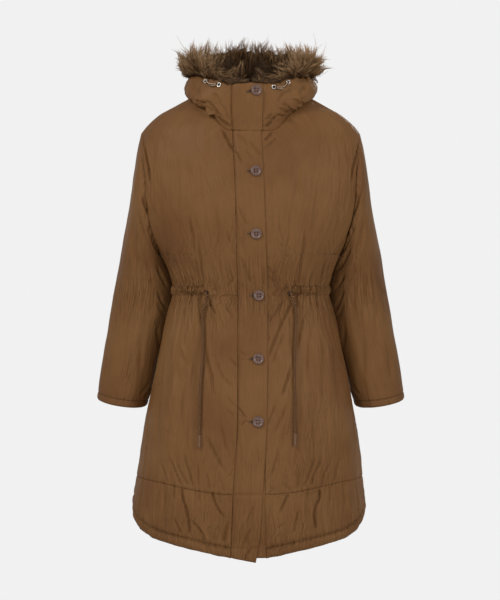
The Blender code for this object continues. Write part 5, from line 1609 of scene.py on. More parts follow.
def fur_sizes(angle):
    away = np.abs(tidy_angle(angle))
    return {column: FUR[column](away) for column in FUR}


def fur_envelope(angle, share):
    """Where the longest hairs end; share runs from low outside, over the top, to low inside."""
    sizes = fur_sizes(angle)
    radians = np.radians(angle)
    rim = hood_smooth(angle, np.ones(np.shape(angle)))
    loop = []
    for place in FUR_LOOP:
        lock = 1.0 + 0.07 * np.sin(19 * radians + place.shift)
        lock += 0.06 * np.sin(31 * radians + 2 * place.shift)
        out = sizes["out"] * place.out - sizes["inside"] * place.inside
        up = sizes["rise"] * place.rise
        up = up - sizes["outside_drop"] * place.outside_drop - sizes["inside_drop"] * place.inside_drop
        offset = outward(angle) * out[..., None]
        offset[..., 2] += up
        loop.append(rim + offset * lock[..., None])
    loop = [2 * loop[0] - loop[1], *loop, 2 * loop[-1] - loop[-2]]
    return along_loop(np.array(loop), share, len(FUR_LOOP) - 1)


def fur_skin(angle, share):
    """The skin that the hairs grow from, wrapped over the rim."""
    ones = np.ones(np.shape(angle))
    rim = hood_smooth(angle, ones)
    normal = hood_normal(angle, ones)
    outside = 1.0 - FUR["outside_drop"](np.abs(tidy_angle(angle))) / FUR_LONGEST_DROP / 10.0
    low = hood_smooth(angle, outside) + hood_normal(angle, outside) * FUR_CLEARANCE
    top = rim + normal * FUR_CLEARANCE
    inner_top = rim - normal * (WALL + FUR_CLEARANCE)
    for place in (top, inner_top):
        place[..., 2] += FUR_CLEARANCE
    middle_share = 0.5 + FUR_INSIDE_SHARE / 2
    middle = hood_smooth(angle, ones * middle_share)
    middle = middle - hood_normal(angle, ones * middle_share) * (WALL + FUR_CLEARANCE)
    inside = hood_smooth(angle, ones * FUR_INSIDE_SHARE)
    inside = inside - hood_normal(angle, ones * FUR_INSIDE_SHARE) * (WALL + FUR_CLEARANCE)
    places = (low, top, inner_top, middle, inside)
    result = np.zeros(rim.shape)
    for k in range(len(places) - 1):
        first, last = SKIN_PLACES[k], SKIN_PLACES[k + 1]
        t = ((share - first) / (last - first))[..., None]
        within = ((share >= first) & (share <= last))[..., None]
        result = np.where(within, blend(places[k], places[k + 1], t), result)
    return result


def fur_tone(angle, share, random):
    """How light the hairs are: taupe outside, dark and curly deep inside, olive low in front. The darkness
    at the back of the mouth and on the trim's inner face is painted shade.
    """
    away = np.abs(tidy_angle(angle))
    # Painted shade: hairs at the back of the hood's mouth, seen through it, are made darker.
    deep = smooth_step((away - 154.0) / 14.0) * (0.6 + 0.4 * smooth_step((share - 0.3) / 0.2))
    # Painted shade: hairs on the trim's inner face, turned into the hood, are made darker.
    inside = 0.35 * smooth_step((share - 0.70) / 0.25)
    front = 0.30 * smooth_step((46.0 - away) / 30.0) + 0.35 * smooth_step((22.0 - away) / 12.0)
    dark = np.clip(np.maximum(np.maximum(deep, inside), front), 0, 1)
    light_side = 0.08 * np.sign(tidy_angle(angle))
    return np.clip(0.72 - 0.64 * dark + light_side + random.normal(0, 0.17, len(away)), 0, 1)


STRAND_SIDES = 3


def strand_mesh(routes, radii):
    """Tapered strands as one mesh: routes has a row of points for each, its tip last."""
    count, size = routes.shape[:2]
    tangent = np.gradient(routes, axis=1)
    first = unit(np.cross(tangent, np.array([0.31, 0.74, 0.59])))
    second = unit(np.cross(tangent, first))
    rings = []
    for s in range(STRAND_SIDES):
        turn = 2 * math.pi * s / STRAND_SIDES
        spoke = first * math.cos(turn) + second * math.sin(turn)
        rings.append(routes + spoke * radii[..., None])
    body = np.stack(rings, axis=2)[:, : size - 1].reshape(count, -1, 3)
    points = np.concatenate([body, routes[:, -1:]], axis=1)
    per_strand = points.shape[1]
    faces = [(2, 1, 0)]
    for r in range(size - 2):
        for s in range(STRAND_SIDES):
            t = (s + 1) % STRAND_SIDES
            low = r * STRAND_SIDES
            faces.append((low + s, low + t, low + STRAND_SIDES + t))
            faces.append((low + s, low + STRAND_SIDES + t, low + STRAND_SIDES + s))
    last = (size - 2) * STRAND_SIDES
    for s in range(STRAND_SIDES):
        faces.append((last + s, last + (s + 1) % STRAND_SIDES, per_strand - 1))
    faces = np.array(faces)
    starts = (np.arange(count) * per_strand)[:, None, None]
    return points.reshape(-1, 3), (faces[None] + starts).reshape(-1, 3)


LockKind = namedtuple(
    "LockKind", "name pieces locks strands rings short long thickness root_spread tip_spread pale"
)
LOCK_KINDS = [
    LockKind("under", 2, 440, 8, 3, 0.55, 0.86, 0.50, 3.4, 1.8, -0.12),
    LockKind("long", 2, 280, 10, 5, 0.74, 1.04, 0.42, 3.0, 1.2, 0.05),
    LockKind("wisp", 1, 240, 3, 5, 0.96, 1.12, 0.34, 1.4, 0.6, 0.18),
    LockKind("curl", 1, 400, 4, 10, 0.55, 1.04, 0.52, 2.6, 1.6, 0.08),
]
INNER_SWEEP = 9.0             # degrees that the inner front locks run towards the middle
OUTER_SWEEP = 30.0            # degrees that the outer front locks are brushed outward
RIM_SHARE = 0.42
FRONT_TALLER = 0.62
BACK_TALLER = 0.10
FUR_DIPS = ((-156.0, 7.0, 0.20), (160.0, 7.0, 0.16))      # angle, width, share of the height


def strand_places(rings):
    """Shares along a strand where it has points, its root first and its tip last."""
    return np.linspace(0.0, 1.0, rings + 1)


def lock_routes(kind, angle, share, random):
    """Each lock's root, the place it bends over, and its tip."""
    away = np.abs(tidy_angle(angle))
    side = np.sign(tidy_angle(angle))
    count = len(angle)
    outside = smooth_step((RIM_SHARE - share) / 0.12)
    front = smooth_step((96.0 - away) / 40.0)
    behind = smooth_step((away - 112.0) / 24.0)
    brushed = outside * smooth_step((away - 18.0) / 26.0) * smooth_step((104.0 - away) / 30.0)
    sweep = random.normal(0, 7.0, count)
    sweep -= side * (1 - outside) * front * random.uniform(0.1, 1.0, count) * INNER_SWEEP
    sweep += side * brushed * random.uniform(0.1, 1.0, count) * OUTER_SWEEP
    sweep = np.where(np.sign(tidy_angle(angle + sweep)) == side, sweep, 0.0)
    outer_end = 0.12 + 0.70 * share
    inner_end = blend(share - 0.04, 0.28 + 0.38 * share, behind)
    end = blend(inner_end, outer_end, outside) + random.normal(0, 0.07, count)
    root = fur_skin(angle, share)
    tall = 1.0 + FRONT_TALLER * smooth_step((away - 12.0) / 14.0) * smooth_step((74.0 - away) / 26.0)
    tall = tall + BACK_TALLER * smooth_step((away - 150.0) / 14.0)
    for place, width, depth in FUR_DIPS:
        tall = tall - depth * bell(tidy_angle(angle - place), width)
    length = (random.uniform(kind.short, kind.long, count) * tall)[:, None]
    tip = root + (fur_envelope(angle + sweep, np.clip(end, 0, 1)) - root) * length
    bend = fur_envelope(angle + 0.35 * sweep, np.clip((share + end) / 2, 0, 1))
    bend = root + (bend - root) * length * random.uniform(0.5, 0.72, count)[:, None]
    return root, bend, tip


def grow_locks(kind, angle, share, random):
    """Strands of many locks: each lock leans, curls and gathers to a point of its own."""
    away = np.abs(tidy_angle(angle))
    count = len(angle)
    root, bend, tip = lock_routes(kind, angle, share, random)
    reach = np.linalg.norm(tip - root, axis=1)
    lift = unit(tip - root)
    lean = random.normal(0, 1, (count, 3))
    lean = unit(lean - (lean * lift).sum(axis=1)[:, None] * lift)
    across = np.cross(lift, lean)
    deep = smooth_step((away - 130.0) / 26.0) * smooth_step((share - 0.34) / 0.18)
    curl = blend(random.uniform(1.0, 3.4, count), random.uniform(3.0, 6.0, count), deep)
    turns = blend(random.uniform(0.4, 1.0, count), random.uniform(0.9, 1.5, count), deep)
    if kind.name == "curl":
        curl = random.uniform(2.0, 4.6, count)
        turns = random.uniform(1.4, 3.0, count)
    each = kind.strands
    total = count * each
    t = strand_places(kind.rings)[None, :, None]
    spread = random.normal(0, kind.root_spread / 1.7, (total, 3))
    roots = np.repeat(root, each, axis=0) + spread
    bends = np.repeat(bend, each, axis=0) + 0.8 * spread
    tips = np.repeat(tip, each, axis=0) + random.normal(0, kind.tip_spread, (total, 3))
    t = t * random.uniform(0.86, 1.0, total)[:, None, None]
    body = roots[:, None] * (1 - t) ** 2 + bends[:, None] * 2 * t * (1 - t) + tips[:, None] * t**2
    arch = 4 * t * (1 - t)
    bow = np.repeat(lean * (reach * random.uniform(0.02, 0.16, count))[:, None], each, axis=0)
    body = body + bow[:, None] * arch
    droop = np.repeat(reach * random.uniform(0.0, 0.12, count) * (share < 0.3), each)
    body[..., 2] -= (droop[:, None, None] * t**2)[..., 0]
    phase = np.repeat(random.uniform(0, 2 * math.pi, count), each) + random.normal(0, 0.3, total)
    wave = 2 * math.pi * np.repeat(turns, each)[:, None, None] * t + phase[:, None, None]
    size = np.repeat(curl, each)[:, None, None] * t**1.2
    body = body + np.repeat(lean, each, axis=0)[:, None] * np.cos(wave) * size
    body = body + np.repeat(across, each, axis=0)[:, None] * np.sin(wave) * size
    width = kind.thickness * random.uniform(0.75, 1.3, total)
    return body, width[:, None] * (1.0 - 0.72 * strand_places(kind.rings)[None] ** 1.6)


def strand_uv(tone, rings):
    """Place along the strand, and its tone, at every point of the strand mesh."""
    places = strand_places(rings)
    along = np.concatenate([np.repeat(places[:-1], STRAND_SIDES), places[-1:]])
    return np.stack([np.tile(along, len(tone)), np.repeat(tone, len(along))], axis=1)


def strand_tones(lock_tone, each, random):
    tone = np.repeat(lock_tone, each)
    return np.clip(tone + random.normal(0, 0.10, len(tone)), 0, 1)


def fur_angles(random, kind):
    """Places round the rim, fewer where the front is narrow, none where its two ends meet."""
    if kind.name == "curl":
        return 180.0 + random.uniform(-62.0, 62.0, kind.locks)
    angle = random.uniform(2.0, 358.0, kind.locks * 2)
    away = np.abs(tidy_angle(angle))
    dense = 0.5 + 0.5 * smooth_step((away - 20) / 45.0)
    dense -= 0.12 * smooth_step((away - 146.0) / 16.0)
    keep = random.uniform(0, 1, len(angle)) < dense
    return angle[keep][: kind.locks]


def make_fur(fur):
    core_angle = np.linspace(0.6, 359.4, 241)
    loops = []
    for share in np.linspace(0, 1, 22):
        at = np.full(core_angle.shape, share)
        skin = fur_skin(core_angle, at)
        behind = smooth_step((np.abs(tidy_angle(core_angle)) - 120.0) / 40.0)
        depth = (0.44 + 0.16 * behind) * np.sin(math.pi * np.clip(share, 0.03, 0.97)) ** 0.6
        lumps = 1 + 0.12 * ripple(core_angle * 2, at * 150, 91, 22.0, 34.0)
        loops.append(skin + (fur_envelope(core_angle, at) - skin) * (depth * lumps)[..., None])
    outer = np.array(loops)
    under = np.array([
        fur_skin(core_angle, np.full(core_angle.shape, share)) for share in np.linspace(0, 1, 22)
    ])
    points, faces = shell_mesh(outer[:, ::-1], under[:, ::-1])
    core = add_mesh("fur_trim_core", points, faces, fur["core"])
    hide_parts("hood_fur_trim")
    random = np.random.RandomState(101)
    for kind in LOCK_KINDS:
        for number in range(kind.pieces):
            angle = fur_angles(random, kind)
            share = random.beta(1.1, 1.25, len(angle))
            if kind.name == "curl":
                share = random.uniform(0.30, 0.74, len(angle))
            tone = fur_tone(angle, share, random) + kind.pale
            routes, radii = grow_locks(kind, angle, share, random)
            points, faces = strand_mesh(routes, radii)
            uv = strand_uv(strand_tones(tone, kind.strands, random), kind.rings)
            piece = add_mesh(f"fur_trim_{kind.name}_{number + 1}", points, faces, fur["hair"], uv)
            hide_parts("hood_fur_trim")


Tuft = namedtuple("Tuft", "right up angle tone strands")
TUFTS = [
    Tuft(-109, 152, -118, 0.8, 12),
    Tuft(-93, 164, -126, 0.7, 14),
    Tuft(-72, 162, -140, 0.55, 12),
    Tuft(-34, 157, -163, 0.15, 12),
    Tuft(-19, 154, -170, 0.1, 12),
    Tuft(-2, 156, 178, 0.15, 12),
    Tuft(8, 157, 174, 0.1, 12),
    Tuft(21, 163, 168, 0.35, 14),
    Tuft(33, 152, 160, 0.2, 10),
    Tuft(56, 153, 150, 0.45, 12),
    Tuft(88, 150, 134, 0.4, 10),
    Tuft(104, 146, 122, 0.8, 12),
    Tuft(127, 144, 108, 0.85, 12),
    Tuft(147, 134, 96, 0.9, 12),
    Tuft(163, 113, 88, 0.9, 12),
    Tuft(-167, 97, -88, 0.8, 12),
    Tuft(-160, 112, -92, 0.75, 12),
    Tuft(-140, 132, -102, 0.75, 12),
    Tuft(-126, 142, -110, 0.75, 12),
    Tuft(145, 55, 84, 0.7, 10),
    Tuft(-143, 62, -84, 0.6, 10),
    Tuft(-15, 88, -6, 0.95, 9),
    Tuft(-24, 76, -12, 0.6, 8),
    Tuft(9, 72, 7, 0.5, 8),
]
TUFT_RINGS = 7
TUFT_SHARE = 0.33
TUFT_SPREAD = 3.2


def make_tufts(hair):
    """The longest locks, each pulled out to a place of its own on the outline."""
    random = np.random.RandomState(107)
    tufts = [tuft for tuft in TUFTS for _ in range(tuft.strands)]
    count = len(tufts)
    angle = np.array([tuft.angle for tuft in tufts]) + random.normal(0, 1.8, count)
    share = np.where(np.array([tuft.up for tuft in tufts]) < 65, 0.05, TUFT_SHARE)
    root = fur_skin(angle, share)
    tip = np.array([(tuft.right, 0.0, tuft.up) for tuft in tufts], float)
    tip[:, 1] = root[:, 1] + 4.0
    tip = root + (tip - root) * random.uniform(0.80, 1.0, count)[:, None]
    tip += random.normal(0, 1.5, (count, 3))
    root = root + random.normal(0, TUFT_SPREAD, (count, 3))
    t = strand_places(TUFT_RINGS)[None, :, None]
    each = np.repeat(random.uniform(0, 2 * math.pi, len(TUFTS)), [tuft.strands for tuft in TUFTS])
    bend = (each + random.normal(0, 0.25, count))[:, None, None]
    curl = np.where(np.array([tuft.tone for tuft in tufts]) < 0.4, 4.0, 2.0)[:, None, None]
    outer = (root + tip) / 2 + np.array([0.0, 0.0, 6.0])
    routes = root[:, None] * (1 - t) ** 2 + outer[:, None] * 2 * t * (1 - t) + tip[:, None] * t**2
    wave = 2 * math.pi * 1.1 * t + bend
    swing = np.concatenate([np.cos(wave), np.sin(wave), 0.5 * np.sin(wave + 1)], axis=2)
    routes = routes + swing * curl * t * (1.25 - t)
    radii = np.full(routes.shape[:2], 0.46) * (1.0 - 0.7 * t[..., 0] ** 1.6)
    points, faces = strand_mesh(routes, radii)
    tone = np.clip(np.array([tuft.tone for tuft in tufts]) + random.normal(0, 0.1, count), 0, 1)
    piece = add_mesh("fur_trim_tufts", points, faces, hair, strand_uv(tone, TUFT_RINGS))
    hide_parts("hood_fur_trim")


LINING_RINGS = 4
LINING_LOW = 0.4
LINING_HIGH = 0.82


FUR_LINING_COLUMNS = 150
FUR_LINING_ROWS = 24


def make_fur_lining(fur):
    columns = whole(FUR_LINING_COLUMNS)
    rows = whole(FUR_LINING_ROWS)
    angle = np.linspace(1.0, 359.0, columns + 1)[None, :]
    share = np.linspace(LINING_HIGH, LINING_LOW, rows + 1)[:, None]
    angle, share = full_grids(angle, share)
    normal = hood_normal(angle, share)
    back = hood_smooth(angle, share) - normal * (WALL + 1.6)
    lumps = 0.8 * ripple(angle * 2, share * 120, 95, 9.0, 9.0)
    pile = back - normal * (3.4 + lumps)[..., None]
    points, faces = shell_mesh(pile[:, ::-1], back[:, ::-1])
    piece = add_mesh("fur_lining_pile", points, faces, fur["core"])
    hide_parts("hood_fur_lining")
    random = np.random.RandomState(103)
    locks = 120
    angle = random.uniform(4, 356, locks)
    share = random.uniform(LINING_LOW + 0.03, 0.8, locks)
    normal = hood_normal(angle, share)
    per_lock = 8
    root = hood_smooth(angle, share) - normal * (WALL + 4.6)
    end = root - normal * random.uniform(9, 15, locks)[:, None]
    end[:, 2] += random.uniform(-7, 4, locks)
    roots = np.repeat(root, per_lock, axis=0) + random.normal(0, 3.4, (locks * per_lock, 3))
    ends = np.repeat(end, per_lock, axis=0) + random.normal(0, 1.5, (locks * per_lock, 3))
    t = strand_places(LINING_RINGS)[None, :, None]
    phase = np.repeat(random.uniform(0, 2 * math.pi, locks), per_lock)[:, None, None]
    routes = roots[:, None] * (1 - t) + ends[:, None] * t
    wave = 2 * math.pi * 1.3 * t + phase
    routes = routes + np.concatenate([np.cos(wave), np.sin(wave), np.sin(wave + 1)], axis=2) * 2.2 * t
    radii = np.full(routes.shape[:2], 0.4) * (1.0 - 0.7 * t[..., 0] ** 1.6)
    points, faces = strand_mesh(routes, radii)
    tone = np.clip(0.16 + random.uniform(-0.12, 0.16, locks), 0, 1)
    hair = add_mesh(
        "fur_lining_hair", points, faces, fur["hair"],
        strand_uv(strand_tones(tone, per_lock, random), LINING_RINGS),
    )
    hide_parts("hood_fur_lining")


# ---------------------------------------------------------------- seats on the cloth
def placket_seat(x, height):
    if height > float(neck_height(0.0)):
        share, rise = placket_share(x, PLACKET_TOP_HEIGHT), HOOD_BUTTON_RISE
        return placket_top_base(share, rise), placket_top_normal(share, rise)
    share = placket_share(x, height)
    return placket_base(share, height), placket_normal(share, height)


def placket_share(x, height):
    seam = float(PLACKET_X["x_seam"](height))
    free = float(PLACKET_X["x_free"](height))
    return np.array((x - seam) / (free - seam))


def body_seat(x, height):
    angle = np.array(float(angle_at_x(x, height)))
    height = np.array(float(height))
    place = plain_body(angle, height)
    normal = body_normal(angle, height)
    return place + normal * body_folds(angle, place)[..., None], normal


def flat_seat(seat):
    """One seat's place and normal as plain vectors."""
    return tuple(np.asarray(part, float).reshape(3) for part in seat)


def frame_on(normal):
    """Level, upright and outward directions of a seat."""
    out = unit(np.asarray(normal, float))
    level = unit(np.cross(np.array([0, 0, 1.0]), out)) * -1.0
    return level, np.cross(out, level), out


def put_on(points, place, normal):
    """Local points, with +z outward, moved onto a seat."""
    level, upright, out = frame_on(normal)
    points = np.asarray(points, float)
    return place + points[:, :1] * level + points[:, 1:2] * upright + points[:, 2:] * out


def ring_faces(rings, sides):
    """Faces between closed rings of points."""
    faces = []
    for r in range(rings - 1):
        low, high = r * sides, (r + 1) * sides
        for s in range(sides):
            t = (s + 1) % sides
            faces.append((low + s, low + t, high + t, high + s))
    return faces


def end_caps(rings, sides):
    last = (rings - 1) * sides
    return [tuple(reversed(range(sides))), tuple(range(last, last + sides))]


def turned(profile, segments):
    """An open surface turned from (radius, z) rows."""
    turn = 2 * math.pi * np.arange(segments) / segments
    points = []
    for radius, z in profile:
        ring = radius * np.cos(turn), radius * np.sin(turn), np.full(segments, z)
        points.append(np.stack(ring, axis=1))
    return np.concatenate(points), ring_faces(len(profile), segments)


def merged(parts):
    """Several (points, faces) as one."""
    points, faces, base = [], [], 0
    for part_points, part_faces in parts:
        points.append(np.asarray(part_points, float))
        faces += [tuple(i + base for i in face) for face in part_faces]
        base += len(part_points)
    return np.concatenate(points), faces


# ---------------------------------------------------------------- buttons
BUTTON_SIDES = 48
HOLE_RADIUS = 1.7
HOLE_OFFSET = 2.7
HOLE_SIDES = 12


def button_blank():
    radius = BUTTON_DIAMETER / 2
    top = BUTTON_THICKNESS
    profile = (
        (radius - 2.2, 0.0),
        (radius - 0.7, 0.5),
        (radius, 1.5),
        (radius - 0.05, 2.3),
        (radius - 0.6, top - 0.3),
        (radius - 1.5, top),
        (radius - 2.4, top - 0.15),
        (radius - 3.3, top - 0.9),
        (radius - 4.6, top - 1.35),
        (radius - 7.0, top - 1.2),
    )
    points, faces = turned(profile, BUTTON_SIDES)
    return points, faces + end_caps(len(profile), BUTTON_SIDES)


def boolean_mesh(blank, cutters):
    """The blank with cylinders cut out of it, as points in millimetres and faces."""
    scene = bpy.context.scene.collection
    made = []
    for points, faces in [blank, *cutters]:
        mesh = bpy.data.meshes.new("cutting")
        mesh.from_pydata((points * MM).tolist(), [], faces)
        piece = bpy.data.objects.new("cutting", mesh)
        scene.objects.link(piece)
        made.append(piece)
    body = made[0]
    for cutter in made[1:]:
        modifier = body.modifiers.new("hole", "BOOLEAN")
        modifier.operation = "DIFFERENCE"
        modifier.object = cutter
    cut = bpy.data.meshes.new_from_object(body.evaluated_get(bpy.context.evaluated_depsgraph_get()))
    points = np.array([vertex.co[:] for vertex in cut.vertices]) / MM
    faces = [tuple(polygon.vertices) for polygon in cut.polygons]
    for piece in made:
        mesh = piece.data
        bpy.data.objects.remove(piece)
        bpy.data.meshes.remove(mesh)
    bpy.data.meshes.remove(cut)
    return points, faces


def hole_cutter(x, y):
    turn = 2 * math.pi * np.arange(HOLE_SIDES) / HOLE_SIDES
    ring = np.stack([x + HOLE_RADIUS * np.cos(turn), y + HOLE_RADIUS * np.sin(turn)], axis=1)
    points = np.concatenate([
        np.column_stack([ring, np.full(HOLE_SIDES, -4.0)]),
        np.column_stack([ring, np.full(HOLE_SIDES, 8.0)]),
    ])
    return points, ring_faces(2, HOLE_SIDES) + end_caps(2, HOLE_SIDES)


def tube(route, radius, sides=8, relief=None):
    """A closed tube along a route; relief gives each ring's radii as shares of the radius."""
    route = np.asarray(route, float)
    tangent = unit(np.gradient(route, axis=0))
    first = np.zeros(route.shape)
    spoke = np.cross(tangent[0], (0, 1, 0))
    if np.linalg.norm(spoke) < 0.2:
        spoke = np.cross(tangent[0], (1, 0, 0))
    for i, along in enumerate(tangent):
        spoke = spoke - along * (spoke @ along)
        spoke = spoke / np.linalg.norm(spoke)
        first[i] = spoke
    second = np.cross(tangent, first)
    turn = 2 * math.pi * np.arange(sides) / sides
    size = np.full((len(route), sides), radius) if relief is None else radius * relief
    points = route[:, None] + size[..., None] * (
        first[:, None] * np.cos(turn)[None, :, None] + second[:, None] * np.sin(turn)[None, :, None]
    )
    faces = ring_faces(len(route), sides) + end_caps(len(route), sides)
    return points.reshape(-1, 3), faces


def make_buttons(plastic, thread):
    cutters = [hole_cutter(x * HOLE_OFFSET, y * HOLE_OFFSET) for x in (-1, 1) for y in (-1, 1)]
    points, faces = boolean_mesh(button_blank(), cutters)
    for number, spot in enumerate(BUTTONS, start=1):
        seat, normal = flat_seat(placket_seat(spot.x, spot.height))
        button = add_mesh(
            f"button_{number}_disc", put_on(points, seat + normal * BUTTON_SHANK, normal), faces,
            plastic,
        )
        button.data.set_sharp_from_angle(angle=math.radians(38))
        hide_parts(f"button_{number}")
        strands = []
        top = BUTTON_SHANK + BUTTON_THICKNESS - 0.65
        for y in (-HOLE_OFFSET, HOLE_OFFSET):
            for shift in (-0.25, 0.25):
                route = smooth_line(
                    [(-HOLE_OFFSET, y + shift, 0.6), (-HOLE_OFFSET, y + shift, top - 0.2),
                     (0, y + shift * 0.6, top + 0.25),
                     (HOLE_OFFSET, y + shift, top - 0.2), (HOLE_OFFSET, y + shift, 0.6)], 15,
                )
                strands.append(tube(route, 0.24, 6))
        strands.append(tube([(0, 0, -0.8), (0, 0, 0.3), (0, 0, 1.5)], 2.4, 12))
        stitch_points, stitch_faces = merged(strands)
        sewn = add_mesh(
            f"button_{number}_thread", put_on(stitch_points, seat, normal), stitch_faces, thread
        )


# ---------------------------------------------------------------- eyelets
def eyelet_points(outer, hole, height):
    """A rolled metal ring."""
    middle = (outer + hole) / 2
    half = (outer - hole) / 2
    profile = []
    for k in range(9):
        turn = math.pi * k / 8
        profile.append((middle - half * math.cos(turn), height * math.sin(turn) ** 0.8))
    profile = [(hole, -1.2), *profile, (outer, -0.4)]
    return turned(profile, 40)


HOOD_EYELETS = (
    ("hood_eyelet_right_outer", -26.5),
    ("hood_eyelet_right_inner", -15.0),
    ("hood_eyelet_left_outer", 19.5),
    ("hood_eyelet_left_inner", 10.5),
)


def make_eyelets(waist_metal, hood_metal, dark):
    seats = []
    for name, x, first in (
        ("waist_eyelet_right", EYELET_X_RIGHT, RIGHT_CORD[0]),
        ("waist_eyelet_left", EYELET_X_LEFT, LEFT_CORD[0]),
    ):
        seats.append((name, *flat_seat(body_seat(x, first.height)), waist_metal))
    for name, angle in HOOD_EYELETS:
        at = np.array(angle), np.array(HOOD_EYELET_RISE)
        seats.append((name, *flat_seat((hood_smooth(*at), hood_normal(*at))), hood_metal))
    for name, place, normal, metal in seats:
        points, faces = eyelet_points(EYELET_DIAMETER / 2, EYELET_HOLE / 2, EYELET_RISE)
        place = place + normal * EYELET_LIFT
        ring = add_mesh(name + "_ring", put_on(points, place, normal), faces, metal)
        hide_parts(name)
        # A flat near-black disc just under each ring's hole: painted shade in the hole.
        hole_shade, hole_shade_faces = turned(((0.05, -0.9), (EYELET_HOLE / 2 + 0.2, -0.9)), 24)
        depth = add_mesh(name + "_depth", put_on(hole_shade, place, normal), hole_shade_faces, dark)


# ---------------------------------------------------------------- cords
BRAID_RING_SPACING = 0.9
BRAID_SIDES = 16
BRAID_PITCH = 11.0


def braid_relief(length, rings, sides):
    """Two sets of yarns that cross over and under each other."""
    z = np.linspace(0, length, rings)[:, None]
    turn = 2 * math.pi * np.arange(sides)[None, :] / sides
    right = np.cos(4 * (turn + 2 * math.pi * z / (BRAID_PITCH * 2.4)))
    left = np.cos(4 * (turn - 2 * math.pi * z / (BRAID_PITCH * 2.4)))
    return 0.90 + 0.10 * np.maximum(right, left)


def cord_route(points):
    route = []
    for point in points:
        angle = np.array(float(angle_at_x(point.x, point.height)))
        height = np.array(float(point.height))
        place = plain_body(angle, height)
        lift = point.lift + float(fold_rise(point.x, point.height, True))
        route.append(place + body_normal(angle, height) * lift)
    return np.array(route)


def line_length(points):
    return float(np.linalg.norm(np.diff(points, axis=0), axis=1).sum())


def dense_route(points):
    rough = smooth_line(points, 30 * len(points))
    length = line_length(rough)
    count = max(int(length / BRAID_RING_SPACING), 8)
    gone = distances(rough)
    at = np.linspace(0, gone[-1], count)
    return at_distances(at, gone, rough), length


def braided_cord(name, route, diameter, material):
    route, length = dense_route(route)
    relief = braid_relief(length, len(route), BRAID_SIDES)
    points, faces = tube(route, diameter / 2, BRAID_SIDES, relief)
    gone = np.linspace(0, length, len(route))
    uv = np.stack(
        [np.tile(np.arange(BRAID_SIDES) / BRAID_SIDES, len(route)),
         np.repeat(gone / 10.0, BRAID_SIDES)], axis=1,
    )
    return add_mesh(name, points, faces, material, uv), route, length


# Height from the hood cord's middle, and radius, of the thin pale tubes along it, which are painted
# highlights.
HOOD_CORD_HIGHLIGHT = 1.5
HOOD_CORD_HIGHLIGHT_RADIUS = 0.6


def make_cords(cord, tip, pale):
    for side, rows in (("right", RIGHT_CORD), ("left", LEFT_CORD)):
        piece, route, length = braided_cord(
            f"waist_cord_{side}_braid", cord_route(rows), CORD_DIAMETER, cord
        )
        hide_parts(f"waist_cord_{side}")
        end = rows[-1]
        bottom = cord_route([CordPoint(end.x, end.height - CORD_TIP_LENGTH, end.lift)])[0]
        along = unit(bottom - route[-1])
        radius = CORD_DIAMETER / 2
        places = (
            -1.0, 0.4, 1.0, 8.0, 17.0, CORD_TIP_LENGTH - 2.4, CORD_TIP_LENGTH - 0.8, CORD_TIP_LENGTH,
        )
        sizes = (0.98, 1.03, 1.06, 1.05, 1.04, 1.02, 0.9, 0.6)
        sleeve = np.array([route[-1] + along * place for place in places])
        relief = np.repeat(np.array(sizes)[:, None], 20, axis=1)
        points, faces = tube(sleeve, radius, 20, relief)
        sheath = add_mesh(f"waist_cord_tip_{side}_sheath", points, faces, tip)
        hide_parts(f"waist_cord_tip_{side}")
    places = dict(HOOD_EYELETS)
    for side in ("right", "left"):
        outer, inner = (places[f"hood_eyelet_{side}_{which}"] for which in ("outer", "inner"))
        points = []
        for share in (0.0, 0.06, 0.25, 0.5, 0.75, 0.94, 1.0):
            sag = math.sin(math.pi * share)
            angle = blend(outer, inner, blend(HOOD_CORD_END, 1 - HOOD_CORD_END, share))
            at = np.array(angle), np.array(HOOD_EYELET_RISE - HOOD_CORD_SAG * sag)
            lift = HOOD_CORD_LIFT + HOOD_CORD_BULGE * sag
            points.append((hood_smooth(*at) + hood_normal(*at) * lift).reshape(3))
        piece, route, length = braided_cord(
            f"hood_cord_{side}_braid", np.array(points), HOOD_CORD_DIAMETER, cord
        )
        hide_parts(f"hood_cord_{side}")
        # Two thin pale tubes along the cord's top and bottom, a little towards the front: painted
        # highlights.
        edges = []
        for lift in (-HOOD_CORD_HIGHLIGHT, HOOD_CORD_HIGHLIGHT):
            edges.append(tube(route[3:-3] + np.array([0.0, -0.7, lift]), HOOD_CORD_HIGHLIGHT_RADIUS, 8))
        points, faces = merged(edges)
        bright = add_mesh(f"hood_cord_{side}_edges", points, faces, pale)
        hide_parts(f"hood_cord_{side}")


# ---------------------------------------------------------------- sewing
STITCH_LENGTH = 2.9
STITCH_PITCH = 4.1
STITCH_WIDTH = 0.75
STITCH_SIDES = 5
SEWN_DASHES = []


def sample_grid(grid, row, column):
    """Bilinear places on a grid of points at fractional rows and columns."""
    rows, columns = grid.shape[:2]
    row = np.clip(row, 0, rows - 1.001)
    column = np.clip(column, 0, columns - 1.001)
    r, c = row.astype(int), column.astype(int)
    fr, fc = (row - r)[:, None], (column - c)[:, None]
    upper = grid[r, c] * (1 - fc) + grid[r, c + 1] * fc
    lower = grid[r + 1, c] * (1 - fc) + grid[r + 1, c + 1] * fc
    return upper * (1 - fr) + lower * fr


def line_beside(grid, edge, inset):
    """Fractional rows and columns of the line beside a grid's start or bottom edge."""
    along, deep = grid_lengths(grid)
    rows, columns = grid.shape[:2]
    if edge == "start":
        column = [np.interp(inset, along[r], np.arange(columns)) for r in range(rows)]
        return np.arange(rows, dtype=float), np.array(column)
    reach = deep[-1:] - deep
    row = [np.interp(inset, reach[::-1, c], np.arange(rows)) for c in range(columns)]
    return rows - 1 - np.array(row), np.arange(columns, dtype=float)


